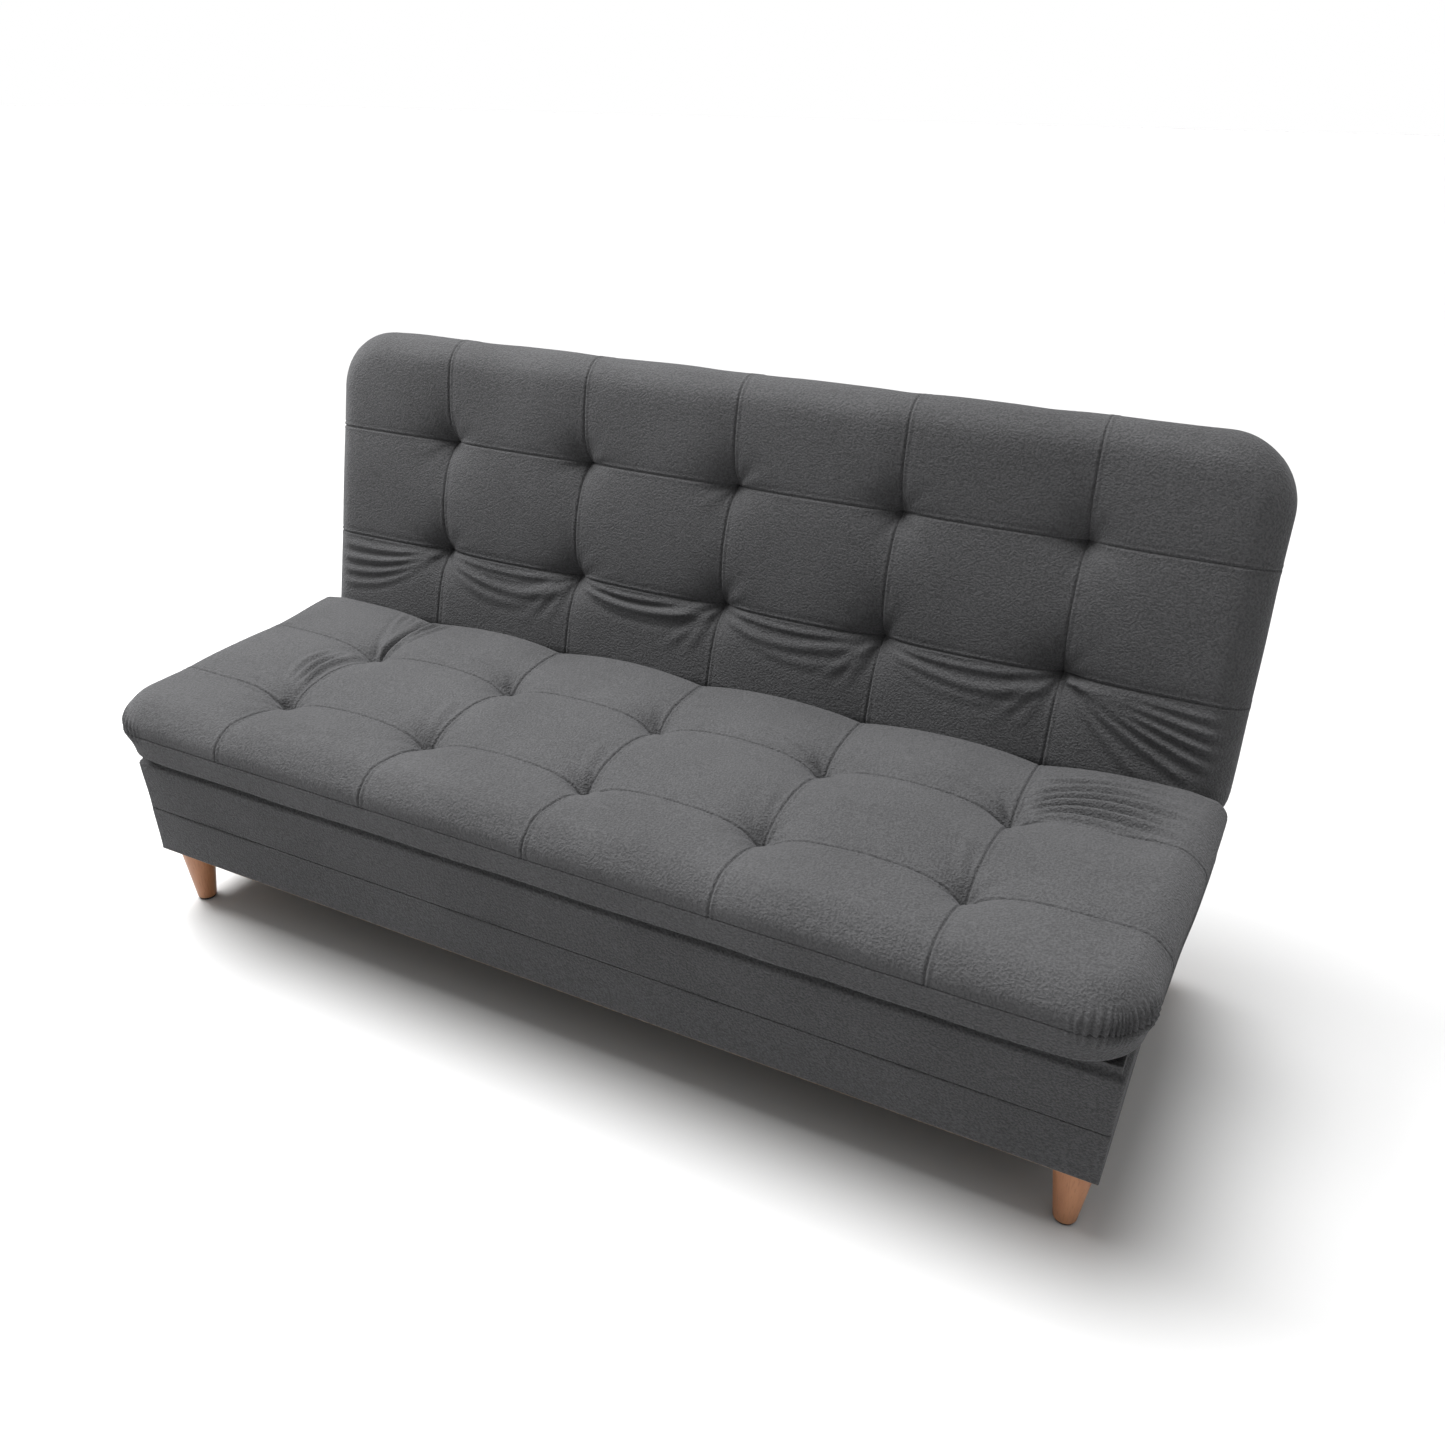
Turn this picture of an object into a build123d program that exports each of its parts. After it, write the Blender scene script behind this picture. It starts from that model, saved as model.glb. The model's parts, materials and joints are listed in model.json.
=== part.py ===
from build123d import *
import math
import os

# Sofa bed with a reclining back and a lifting seat over a storage box.
# Millimetres, +Z up, the front faces -Y, origin on the floor under the middle of the whole.

# Overall
WIDTH = 1800
DEPTH = 808
TUFT_PITCH = 306.4
TUFT_COLUMNS = (-2, -1, 0, 1, 2)

# Storage base
BASE_WIDTH = 1724
BASE_DEPTH = 685
BASE_BOTTOM = 122
BASE_TOP = 325
COVER_SEAM = 212
SEAM_GAP = 0.8
SKIN = 1.5
PANEL = 18
FLOOR_PANEL = 12
BLOCK = 60
BLOCK_HEIGHT = 50
SHELF_DEPTH = 128
CLEAT = 25
BUMPER_RADIUS = 8
FRONT_BUMPERS = (-800, -420, 0, 420, 800)
SIDE_BUMPERS = (-150, 100)
MIDDLE_BUMPER = 100
REAR_BUMPERS = (-600, 0, 600)

# Small sizes used throughout
WELD = 0.5  # how far a head and its shank run into each other
FIT_GAP = 0.5
ANCHOR_RADIUS = 13
ANCHOR_THICK = 3

# Legs
LEG_INSET_X = 38
LEG_INSET_Y = 46
LEG_TOP_RADIUS = 31
LEG_FOOT_RADIUS = 17
GLIDE_HEIGHT = 5
GLIDE_RADIUS = 14.5
LEG_PLATE = 68
LEG_PLATE_THICK = 3
LEG_BOLT_RADIUS = 4
LEG_BOLT_LOW = 85
LEG_BOLT_COVER = 8
LEG_SCREW_OFFSET = 27
SCREW_RADIUS = 2
SCREW_HEAD_THICK = 2.2
SCREW_COVER = 2
LEG_CHAMFER = 1.5
GLIDE_PIN_RADIUS = 3
GLIDE_PIN_LENGTH = 12

# Seat
SEAT_OVERHANG = 48
SEAT_BOTTOM = 335
SEAT_TOP = 440
SEAT_FRONT_CORNER = 100
SEAT_REAR_CORNER = 40
SEAT_EDGE_ROUND = 35
SEAT_REAR_GAP = 45
SEAT_RAIL_BOTTOM = 337
SEAT_RAIL_TOP = 368
SEAT_RAIL_OUT = 860
SEAT_RAIL_THICK = 24
SEAT_RAIL_CORNER_CUT = 20
SEAT_RECESS_TOP = 375
SEAT_ARM_SLOT_HIGH = 402
SEAT_ARM_SLOT_DEEP = 20
SEAT_ARM_LENGTH = 110
SEAT_ARM_HALF_TALL = 13
SEAT_ARM_SCREWS = (15, 55, 95)
SEAT_ARM_SCREW_COVER = 6
SEAT_TUFT_ROWS = (-231, -4)
SPRING_WIRE = 1.9
SPRING_RUNS = 21
SPRING_HALF_RUN = 14
SPRING_LIFT = 1
CLIP_HALF_X = 9
CLIP_HALF_Y = 6
CLIP_CLEARANCE = 0.4

# Back, in its own frame: along is measured up the back from the pivot,
# front and rear are measured square to the back from the pivot
RAKE = 12
BACK_FRONT = 38
BACK_REAR = 74
BACK_BELOW = 20
BACK_ABOVE = 580
BACK_TOP_CORNER = 125
BACK_EDGE_ROUND = 28
BACK_FOOT_ROUND = 25
BACK_RECESS_FROM = 38
BACK_RECESS_LOW = 26
BACK_RECESS_HIGH = 545
BACK_RECESS_HALF = 838
BACK_RECESS_CORNER = 92
BACK_RAIL_FRONT = 47
BACK_RAIL_REAR = 72
BACK_RAIL_LOW = 28
BACK_RAIL_HIGH = 520
BACK_RAIL_TALL = 38
BACK_POST_HIGH = 500
BACK_POST_WIDE = 25
BACK_CENTRE_POST_HALF = 20
BACK_ANCHOR_FRONT = 40
STRAP_HALF = 25
STRAP_THICK = 2
STRAP_ROWS = (120, 230, 340, 450)
STRAP_COLUMNS = (-2.5, -1.5, -0.5, 0.5, 1.5, 2.5)
REAR_COVER_INSET = 0.5
REAR_COVER_GAP = 0.2
BACK_TUFT_ROWS = (168, 381)
BACK_ARM_SCREWS = (95, 130, 165)
BACK_ARM_SCREW_DEEP = 20
BACK_ARM_HALF_WIDE = 12
BACK_ARM_KNEE = 80
BACK_ARM_TOP = 180

# Hinge hardware, mirrored left and right
PLATE = 4
PLATE_GAP = 4
BRACKET_HALF_WIDTH = 35
BRACKET_LOW = 190
BRACKET_SHOULDER = 100
BRACKET_NECK = 76
BRACKET_BOLT_RADIUS = 3
BRACKET_BOLT_ACROSS = 10
BRACKET_BOLT_HEAD = 4
BRACKET_BOLT_OFFSET = 20
BRACKET_BOLT_HEIGHTS = (215, 285)
BOLT_COVER = 1
BOSS_RADIUS = 22
TOOTH_TIP_RADIUS = 26
TOOTH_FIRST = -126
TOOTH_LAST = -38
TOOTH_COUNT = 8
TOOTH_SLOPE = 0.85
SEAT_BOSS_RADIUS = 16
PIVOT_RADIUS = 5
BUSH_RADIUS = 7
RUNNING_CLEARANCE = 0.05
SIDE_CLEARANCE = 0.3
ARM_SLOT_CLEARANCE = 3
ARM_SCREW_RADIUS = 2.5
ARM_SCREW_HEAD_RADIUS = 5
ARM_SCREW_HEAD = 2.5
PAWL_PIN_Y = 8
PAWL_PIN_Z = -52
PAWL_PIN_RADIUS = 3
PAWL_PIN_HEAD = 2
PAWL_BOSS_RADIUS = 7.5
PAWL_TIP_GAP = 0.6
PAWL_TIP_ANGLE = -130
PAWL_SIDE_GAP = 0.2
COIL_RADIUS = 5.4
COIL_PITCH = 2.2
COIL_HEIGHT = 6.6
COIL_WIRE = 0.7
COIL_OFFSET = 1.2
SLOT_IN = 806
SLOT_OUT = 862
SLOT_HIGH = 75
SLOT_FRONT = 24
ARM_SLOT_HIGH = 12

# Worked out from the driving dimensions
REAR_REACH = (
    (BACK_ABOVE - BACK_EDGE_ROUND) * math.sin(math.radians(RAKE))
    + (BACK_REAR - BACK_EDGE_ROUND) * math.cos(math.radians(RAKE))
    + BACK_EDGE_ROUND
)
PIVOT_Y = DEPTH / 2 - REAR_REACH
PIVOT_Z = SEAT_TOP - BACK_FRONT
SEAT_FRONT = -DEPTH / 2
SEAT_REAR = PIVOT_Y - SEAT_REAR_GAP
BASE_FRONT = SEAT_FRONT + SEAT_OVERHANG
BASE_REAR = BASE_FRONT + BASE_DEPTH
BASE_Y = (BASE_FRONT + BASE_REAR) / 2
PANEL_OUT_X = BASE_WIDTH / 2 - SKIN
PANEL_IN_X = PANEL_OUT_X - PANEL
PANEL_FRONT = BASE_FRONT + SKIN
PANEL_REAR = BASE_REAR - SKIN
LEG_X = BASE_WIDTH / 2 - LEG_INSET_X
LEG_Y = (BASE_FRONT + LEG_INSET_Y, BASE_REAR - LEG_INSET_Y)
LEG_TOP = BASE_BOTTOM - LEG_PLATE_THICK
BRACKET_IN = PANEL_IN_X - PLATE
SEAT_ARM_OUT = BRACKET_IN - PLATE_GAP
SEAT_ARM_IN = SEAT_ARM_OUT - PLATE
BACK_ARM_OUT = SEAT_ARM_IN - PLATE_GAP
BACK_ARM_IN = BACK_ARM_OUT - PLATE
SEAT_RAIL_FRONT = BASE_FRONT + 2
SEAT_RECESS_REAR = SEAT_REAR - 13
SEAT_RAIL_REAR = SEAT_RECESS_REAR - 1
NUT_THICK = 8
NUT_ACROSS = 16
BOLT_HEAD = 6.4
BOLT_END = 1.5
NUT_WASHER = 2
WASHER_RADIUS = 9


def span(x0, x1, y0, y1, z0, z1):
    """A box between two corners."""
    centre = ((x0 + x1) / 2, (y0 + y1) / 2, (z0 + z1) / 2)
    return Pos(*centre) * Box(abs(x1 - x0), abs(y1 - y0), abs(z1 - z0))


def rod_x(radius, x0, x1, y, z):
    """A round bar along X."""
    return Pos((x0 + x1) / 2, y, z) * Rot(0, 90, 0) * Cylinder(radius, abs(x1 - x0))


def rod_z(radius, z0, z1, x, y):
    """A round bar along Z."""
    return Pos(x, y, (z0 + z1) / 2) * Cylinder(radius, abs(z1 - z0))


def hex_x(across, x0, x1, y, z):
    """A hexagonal head or nut with its axis along X."""
    head = extrude(RegularPolygon(across / 2, 6, major_radius=False), abs(x1 - x0))
    return Pos(min(x0, x1), y, z) * Rot(0, 90, 0) * head


def plate_yz(outline, x0, x1):
    """A flat plate between two X planes, from an outline drawn in (y, z)."""
    upright = Plane(origin=(min(x0, x1), 0, 0), x_dir=(0, 1, 0), z_dir=(1, 0, 0))
    return extrude(upright * outline, abs(x1 - x0))


def polar(radius, degrees):
    angle = math.radians(degrees)
    return radius * math.cos(angle), radius * math.sin(angle)


def mirrored(shape):
    return mirror(shape, about=Plane.YZ)


def group(solids):
    return Compound(children=list(solids))


def in_back(shape):
    """Places a shape drawn in the back's own frame: pivot at the origin, +Z up the back, +Y rearward."""
    return Location((0, PIVOT_Y, PIVOT_Z), (-RAKE, 0, 0)) * shape


def at_pivot(shape):
    return Pos(0, PIVOT_Y, PIVOT_Z) * shape


# Storage base

def leg_places():
    return [(side * LEG_X, y) for side in (-1, 1) for y in LEG_Y]


def leg_bolt(x, y):
    top = BASE_BOTTOM + FLOOR_PANEL + BLOCK_HEIGHT - LEG_BOLT_COVER
    return rod_z(LEG_BOLT_RADIUS, LEG_BOLT_LOW, top, x, y)


def leg_screw_places():
    offsets = (-LEG_SCREW_OFFSET, LEG_SCREW_OFFSET)
    return [(x + dx, y + dy) for x, y in leg_places() for dx in offsets for dy in offsets]


def leg_screw_shank(x, y):
    return rod_z(SCREW_RADIUS, LEG_TOP - WELD, BASE_BOTTOM + FLOOR_PANEL - SCREW_COVER, x, y)


def leg_screw(x, y):
    head = rod_z(2 * SCREW_RADIUS, LEG_TOP - SCREW_HEAD_THICK, LEG_TOP, x, y)
    return leg_screw_shank(x, y) + head


def bored_for_legs(shape):
    """Takes the leg bolts' and plate screws' holes out of a piece of the base."""
    for x, y in leg_places():
        shape -= leg_bolt(x, y)
    for x, y in leg_screw_places():
        shape -= leg_screw_shank(x, y)
    return shape


def bracket_bolt_places():
    offsets = (-BRACKET_BOLT_OFFSET, BRACKET_BOLT_OFFSET)
    return [(PIVOT_Y + dy, z) for dy in offsets for z in BRACKET_BOLT_HEIGHTS]


def bracket_bolt_shank(y, z):
    return rod_x(BRACKET_BOLT_RADIUS, BRACKET_IN - WELD, PANEL_OUT_X - BOLT_COVER, y, z)


def bracket_bolt(y, z):
    head = hex_x(BRACKET_BOLT_ACROSS, BRACKET_IN - BRACKET_BOLT_HEAD, BRACKET_IN, y, z)
    return bracket_bolt_shank(y, z) + head


def bored_for_brackets(shape):
    for y, z in bracket_bolt_places():
        shape -= bracket_bolt_shank(y, z)
    return shape


def base_panels():
    front = span(-PANEL_OUT_X, PANEL_OUT_X, PANEL_FRONT, PANEL_FRONT + PANEL, BASE_BOTTOM, BASE_TOP)
    rear = span(-PANEL_OUT_X, PANEL_OUT_X, PANEL_REAR - PANEL, PANEL_REAR, BASE_BOTTOM, BASE_TOP)
    y0 = PANEL_FRONT + PANEL
    y1 = PANEL_REAR - PANEL
    side = span(PANEL_IN_X, PANEL_OUT_X, y0, y1, BASE_BOTTOM, BASE_TOP)
    side = bored_for_brackets(bored_for_legs(side))
    floor = span(-PANEL_IN_X, PANEL_IN_X, y0, y1, BASE_BOTTOM, BASE_BOTTOM + FLOOR_PANEL)
    shelf_front = y1 - SHELF_DEPTH
    shelf_under = BASE_TOP - PANEL
    shelf_half = BRACKET_IN - FIT_GAP
    shelf = span(-shelf_half, shelf_half, shelf_front, y1, shelf_under, BASE_TOP)
    cleat_half = PANEL_IN_X - BLOCK
    cleat = span(-cleat_half, cleat_half, y1 - CLEAT, y1, shelf_under - CLEAT, shelf_under)
    divider = span(-PANEL / 2, PANEL / 2, y0, y1, BASE_BOTTOM + FLOOR_PANEL, BASE_TOP) - shelf - cleat
    return {
        "base_rear_shelf": shelf,
        "base_shelf_cleat": cleat,
        "base_front_panel": bored_for_legs(front),
        "base_rear_panel": bored_for_legs(rear),
        "base_right_panel": side,
        "base_left_panel": mirrored(side),
        "base_floor_panel": bored_for_legs(floor),
        "base_divider": divider,
    }


def corner_blocks():
    z0 = BASE_BOTTOM + FLOOR_PANEL
    blocks = []
    for side in (-1, 1):
        x0 = side * PANEL_IN_X
        x1 = side * (PANEL_IN_X - BLOCK)
        for y0, y1 in ((PANEL_FRONT + PANEL, PANEL_FRONT + PANEL + BLOCK),
                       (PANEL_REAR - PANEL - BLOCK, PANEL_REAR - PANEL)):
            blocks.append(span(x0, x1, y0, y1, z0, z0 + BLOCK_HEIGHT))
    return group(bored_for_legs(block) for block in blocks)


def cover_band(z0, z1):
    """One of the two fabric bands wrapped round the base."""
    outer = Rectangle(BASE_WIDTH, BASE_DEPTH)
    inner = Rectangle(BASE_WIDTH - 2 * SKIN, BASE_DEPTH - 2 * SKIN)
    return Pos(0, BASE_Y, z0) * extrude(outer - inner, z1 - z0)


def leg(x, y):
    profile = Polyline(
        (0, GLIDE_HEIGHT),
        (LEG_FOOT_RADIUS, GLIDE_HEIGHT),
        (LEG_TOP_RADIUS, LEG_TOP - 2 * LEG_CHAMFER),
        (LEG_TOP_RADIUS - LEG_CHAMFER, LEG_TOP),
        (0, LEG_TOP),
        close=True,
    )
    body = revolve(Plane.XZ * make_face(profile), Axis.Z)
    body = Pos(x, y, 0) * body
    return body - leg_bolt(x, y) - glide(x, y)


def glide(x, y):
    disc = rod_z(GLIDE_RADIUS, 0, GLIDE_HEIGHT, x, y)
    pin = rod_z(GLIDE_PIN_RADIUS, GLIDE_HEIGHT - WELD, GLIDE_HEIGHT + GLIDE_PIN_LENGTH, x, y)
    return disc + pin


def leg_plate(x, y):
    z0 = LEG_TOP
    half = LEG_PLATE / 2
    return bored_for_legs(span(x - half, x + half, y - half, y + half, z0, BASE_BOTTOM))


def bumpers():
    """Rubber buffers on the base's rim, which the closed seat rests on."""
    rim_y = PANEL_FRONT + PANEL / 2
    rim_x = PANEL_OUT_X - PANEL / 2
    places = [(x, rim_y) for x in FRONT_BUMPERS]
    places += [(side * rim_x, y) for side in (-1, 1) for y in SIDE_BUMPERS]
    places.append((0, MIDDLE_BUMPER))
    return group(rod_z(BUMPER_RADIUS, BASE_TOP, SEAT_BOTTOM, x, y) for x, y in places)


def rear_bumpers():
    """Thin rubber pads on the rear rim, which the flat back comes down on."""
    y = PANEL_REAR - PANEL / 2
    top = PIVOT_Z - BACK_REAR - SIDE_CLEARANCE
    return group(rod_z(BUMPER_RADIUS, BASE_TOP, top, x, y) for x in REAR_BUMPERS)


# Seat

def seat_cushion():
    body = span(-WIDTH / 2, WIDTH / 2, SEAT_FRONT, SEAT_REAR, SEAT_BOTTOM, SEAT_TOP)
    uprights = body.edges().filter_by(Axis.Z).sort_by(Axis.Y)
    body = fillet(uprights[:2], SEAT_FRONT_CORNER)
    uprights = body.edges().filter_by(Axis.Z).sort_by(Axis.Y)
    body = fillet(uprights[-2:], SEAT_REAR_CORNER)
    body = fillet(body.faces().sort_by(Axis.Z)[-1].edges(), SEAT_EDGE_ROUND)
    half = SEAT_RAIL_OUT + 1
    recess = span(-half, half, SEAT_RAIL_FRONT - 1, SEAT_RECESS_REAR, SEAT_BOTTOM - 1, SEAT_RECESS_TOP)
    body -= recess
    for side in (-1, 1):
        x0 = side * (SEAT_ARM_IN - ARM_SLOT_CLEARANCE)
        x1 = side * (SEAT_ARM_OUT + ARM_SLOT_CLEARANCE)
        slot_front = SEAT_RECESS_REAR - SEAT_ARM_SLOT_DEEP
        body -= span(x0, x1, slot_front, SEAT_REAR + 1, SEAT_BOTTOM - 1, SEAT_ARM_SLOT_HIGH)
    return body


def cut_front_corners(body):
    """The seat frame's front corners are cut off to stay inside the cushion's rounded corners."""
    upright = body.edges().filter_by(Axis.Z)
    return chamfer(upright.group_by(Axis.Y)[0], SEAT_RAIL_CORNER_CUT)


def seat_rails():
    y0 = SEAT_RAIL_FRONT
    y1 = SEAT_RAIL_REAR
    z0 = SEAT_RAIL_BOTTOM
    z1 = SEAT_RAIL_TOP
    thick = SEAT_RAIL_THICK
    side = span(SEAT_ARM_OUT, SEAT_RAIL_OUT, y0 + thick, y1, z0, z1)
    for y, z in seat_arm_screw_places():
        side -= seat_arm_screw_shank(y, z)
    rear_half = SEAT_ARM_IN - 1
    return {
        "seat_front_rail": cut_front_corners(span(-SEAT_RAIL_OUT, SEAT_RAIL_OUT, y0, y0 + thick, z0, z1)),
        "seat_rear_rail": span(-rear_half, rear_half, y1 - thick, y1, z0, z1),
        "seat_right_rail": side,
        "seat_left_rail": mirrored(side),
        "seat_centre_rail": span(-thick / 2, thick / 2, y0 + thick, y1 - thick, z0, z1),
    }


def spring_xs():
    return [side * TUFT_PITCH / 4 * step for side in (-1, 1) for step in (1, 3, 5, 7, 9)]


def spring_line():
    """End runs of a zigzag spring, on the middles of the front and rear rails."""
    return SEAT_RAIL_FRONT + SEAT_RAIL_THICK / 2, SEAT_RAIL_REAR - SEAT_RAIL_THICK / 2


def zigzag_spring(x):
    y0, y1 = spring_line()
    pitch = (y1 - y0) / (SPRING_RUNS - 1)
    z = SEAT_RAIL_TOP + SPRING_LIFT + SPRING_WIRE
    pieces = []
    for run in range(SPRING_RUNS):
        y = y0 + run * pitch
        way = 1 if run % 2 == 0 else -1
        start = (x - way * SPRING_HALF_RUN, y, z)
        end = (x + way * SPRING_HALF_RUN, y, z)
        pieces.append(Line(start, end))
        if run < SPRING_RUNS - 1:
            turn = (end[0] + way * pitch / 2, y + pitch / 2, z)
            pieces.append(ThreePointArc(end, turn, (end[0], y + pitch, z)))
    path = Wire(pieces)
    start_plane = Plane(origin=path @ 0, z_dir=path % 0)
    return sweep(start_plane * Circle(SPRING_WIRE), path)


def spring_clip(x, y):
    """A sheet-metal clip folded over the end run of a spring."""
    wire_z = SEAT_RAIL_TOP + SPRING_LIFT + SPRING_WIRE
    x0 = x - CLIP_HALF_X
    x1 = x + CLIP_HALF_X
    body = span(x0, x1, y - CLIP_HALF_Y, y + CLIP_HALF_Y, SEAT_RAIL_TOP, SEAT_RECESS_TOP - CLIP_CLEARANCE)
    return body - rod_x(SPRING_WIRE + RUNNING_CLEARANCE, x0 - 1, x1 + 1, y, wire_z)


def seat_tuft_anchors():
    z1 = SEAT_RECESS_TOP - FIT_GAP
    places = [(column * TUFT_PITCH, y) for column in TUFT_COLUMNS for y in SEAT_TUFT_ROWS]
    return group(rod_z(ANCHOR_RADIUS, z1 - ANCHOR_THICK, z1, x, y) for x, y in places)


def seat_dust_cover():
    half = SEAT_RAIL_OUT
    sheet = span(-half, half, SEAT_RAIL_FRONT, SEAT_RAIL_REAR, SEAT_BOTTOM + SIDE_CLEARANCE, SEAT_RAIL_BOTTOM)
    return cut_front_corners(sheet)


def seat_arm_screw_places():
    z = (SEAT_RAIL_BOTTOM + SEAT_RAIL_TOP) / 2
    return [(SEAT_RAIL_REAR - SEAT_RAIL_THICK - step, z) for step in SEAT_ARM_SCREWS]


def seat_arm():
    """Steel arm from the seat's side rail up to the pivot."""
    rail_y = SEAT_RAIL_REAR - SEAT_RAIL_THICK
    mid_z = (SEAT_RAIL_BOTTOM + SEAT_RAIL_TOP) / 2
    strip = Pos(rail_y - SEAT_ARM_LENGTH / 2, mid_z) * Rectangle(SEAT_ARM_LENGTH, 2 * SEAT_ARM_HALF_TALL)
    knee = Pos(rail_y, mid_z) * Circle(SEAT_ARM_HALF_TALL)
    boss = Pos(PIVOT_Y, PIVOT_Z) * Circle(SEAT_BOSS_RADIUS)
    link = make_hull((knee + boss).edges())
    outline = strip + link - Pos(PIVOT_Y, PIVOT_Z) * Circle(BUSH_RADIUS)
    arm = plate_yz(outline, SEAT_ARM_IN, SEAT_ARM_OUT)
    for y, z in seat_arm_screw_places():
        arm -= seat_arm_screw_shank(y, z)
    return arm


def seat_arm_screw_shank(y, z):
    return rod_x(ARM_SCREW_RADIUS, SEAT_ARM_IN - WELD, SEAT_RAIL_OUT - SEAT_ARM_SCREW_COVER, y, z)


def seat_arm_screw(y, z):
    head = rod_x(ARM_SCREW_HEAD_RADIUS, SEAT_ARM_IN - ARM_SCREW_HEAD, SEAT_ARM_IN, y, z)
    return seat_arm_screw_shank(y, z) + head


# Back, in its own frame

def rear_panel_shape(inset, y0, y1):
    """A board that fills the recess in the rear of the back, smaller all round by the inset."""
    half = BACK_RECESS_HALF - inset
    board = span(-half, half, y0, y1, BACK_RECESS_LOW + inset, BACK_RECESS_HIGH - inset)
    corners = board.edges().filter_by(Axis.Y).sort_by(Axis.Z)[-2:]
    return fillet(corners, BACK_RECESS_CORNER - inset)


def back_cushion():
    body = span(-WIDTH / 2, WIDTH / 2, -BACK_FRONT, BACK_REAR, -BACK_BELOW, BACK_ABOVE)
    corners = body.edges().filter_by(Axis.Y).sort_by(Axis.Z)[-2:]
    body = fillet(corners, BACK_TOP_CORNER)
    foot = body.edges().filter_by(Axis.X).sort_by(Axis.Z)[:2].sort_by(Axis.Y)[-1:]
    body = fillet(foot, BACK_FOOT_ROUND)
    for face in (body.faces().sort_by(Axis.Y)[0], body.faces().sort_by(Axis.Y)[-1]):
        rim = face.edges().filter_by(lambda edge: edge.center().Z > 0)
        body = fillet(rim, BACK_EDGE_ROUND)
    body -= rear_panel_shape(0, BACK_RECESS_FROM, BACK_REAR + 1)
    for side in (-1, 1):
        x0 = side * SLOT_IN
        x1 = side * SLOT_OUT
        body -= span(x0, x1, -SLOT_FRONT, BACK_REAR + 1, -BACK_BELOW - 1, SLOT_HIGH)
        x0 = side * (SEAT_ARM_IN - ARM_SLOT_CLEARANCE)
        x1 = side * (SEAT_ARM_OUT + ARM_SLOT_CLEARANCE)
        body -= span(x0, x1, -BACK_FRONT - 1, 0, -BACK_BELOW - 1, ARM_SLOT_HIGH)
    return in_back(body)


def back_rails():
    y0 = BACK_RAIL_FRONT
    y1 = BACK_RAIL_REAR
    z0 = BACK_RAIL_LOW
    z1 = BACK_RAIL_HIGH
    inner = BACK_ARM_IN - BACK_POST_WIDE
    post = span(inner, BACK_ARM_IN, y0, y1, z0, BACK_POST_HIGH)
    for y, z in back_arm_screw_places():
        post -= back_arm_screw_shank(y, z)
    half = BACK_CENTRE_POST_HALF
    centre = span(-half, half, y0, y1, z0 + BACK_RAIL_TALL, z1 - BACK_RAIL_TALL)
    return {
        "back_bottom_rail": in_back(span(-inner, inner, y0, y1, z0, z0 + BACK_RAIL_TALL)),
        "back_top_rail": in_back(span(-inner, inner, y0, y1, z1 - BACK_RAIL_TALL, z1)),
        "back_right_post": in_back(post),
        "back_left_post": in_back(mirrored(post)),
        "back_centre_post": in_back(centre),
    }


def back_webbing():
    """Elastic straps stapled to the front of the back's frame, in two layers."""
    front = BACK_RAIL_FRONT
    low = BACK_RAIL_LOW
    high = BACK_RAIL_HIGH
    middle = front - STRAP_THICK
    straps = []
    for z in STRAP_ROWS:
        straps.append(span(-BACK_ARM_IN, BACK_ARM_IN, middle, front, z - STRAP_HALF, z + STRAP_HALF))
    for column in STRAP_COLUMNS:
        x = column * TUFT_PITCH
        straps.append(span(x - STRAP_HALF, x + STRAP_HALF, middle - STRAP_THICK, middle, low, high))
    return in_back(group(straps))


def back_tuft_anchors():
    anchors = []
    for column in TUFT_COLUMNS:
        for z in BACK_TUFT_ROWS:
            disc = Rot(90, 0, 0) * Cylinder(ANCHOR_RADIUS, ANCHOR_THICK)
            anchors.append(Pos(column * TUFT_PITCH, BACK_ANCHOR_FRONT, z) * disc)
    return in_back(group(anchors))


def back_rear_cover():
    y0 = BACK_RAIL_REAR + REAR_COVER_GAP
    y1 = BACK_REAR - REAR_COVER_GAP
    return in_back(rear_panel_shape(REAR_COVER_INSET, y0, y1))


def back_arm_screw_places():
    mid_y = (BACK_RAIL_FRONT + BACK_RAIL_REAR) / 2
    return [(mid_y, z) for z in BACK_ARM_SCREWS]


def ratchet_teeth():
    """Saw teeth round the lower side of the arm's boss, drawn in (rearward, up the back)."""
    step = (TOOTH_LAST - TOOTH_FIRST) / TOOTH_COUNT
    points = [(0, 0), polar(BOSS_RADIUS, TOOTH_FIRST)]
    for tooth in range(TOOTH_COUNT):
        points.append(polar(TOOTH_TIP_RADIUS, TOOTH_FIRST + (tooth + TOOTH_SLOPE) * step))
        points.append(polar(BOSS_RADIUS, TOOTH_FIRST + (tooth + 1) * step))
    return make_face(Polyline(*points, close=True))


def back_arm():
    """Steel arm from the pivot to the back's post, with the ratchet teeth round its boss."""
    mid_y = (BACK_RAIL_FRONT + BACK_RAIL_REAR) / 2
    boss = Circle(BOSS_RADIUS)
    knee = Pos(mid_y, BACK_ARM_KNEE) * Circle(BACK_ARM_HALF_WIDE)
    link = make_hull((boss + knee).edges())
    length = BACK_ARM_TOP - BACK_ARM_KNEE
    strip = Pos(mid_y, BACK_ARM_KNEE + length / 2) * Rectangle(2 * BACK_ARM_HALF_WIDE, length)
    outline = link + strip + ratchet_teeth() - Circle(BUSH_RADIUS)
    arm = plate_yz(outline, BACK_ARM_IN, BACK_ARM_OUT)
    for y, z in back_arm_screw_places():
        arm -= back_arm_screw_shank(y, z)
    return in_back(arm)


def back_arm_screw_shank(y, z):
    return rod_x(ARM_SCREW_RADIUS, BACK_ARM_IN - BACK_ARM_SCREW_DEEP, BACK_ARM_OUT + WELD, y, z)


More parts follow.
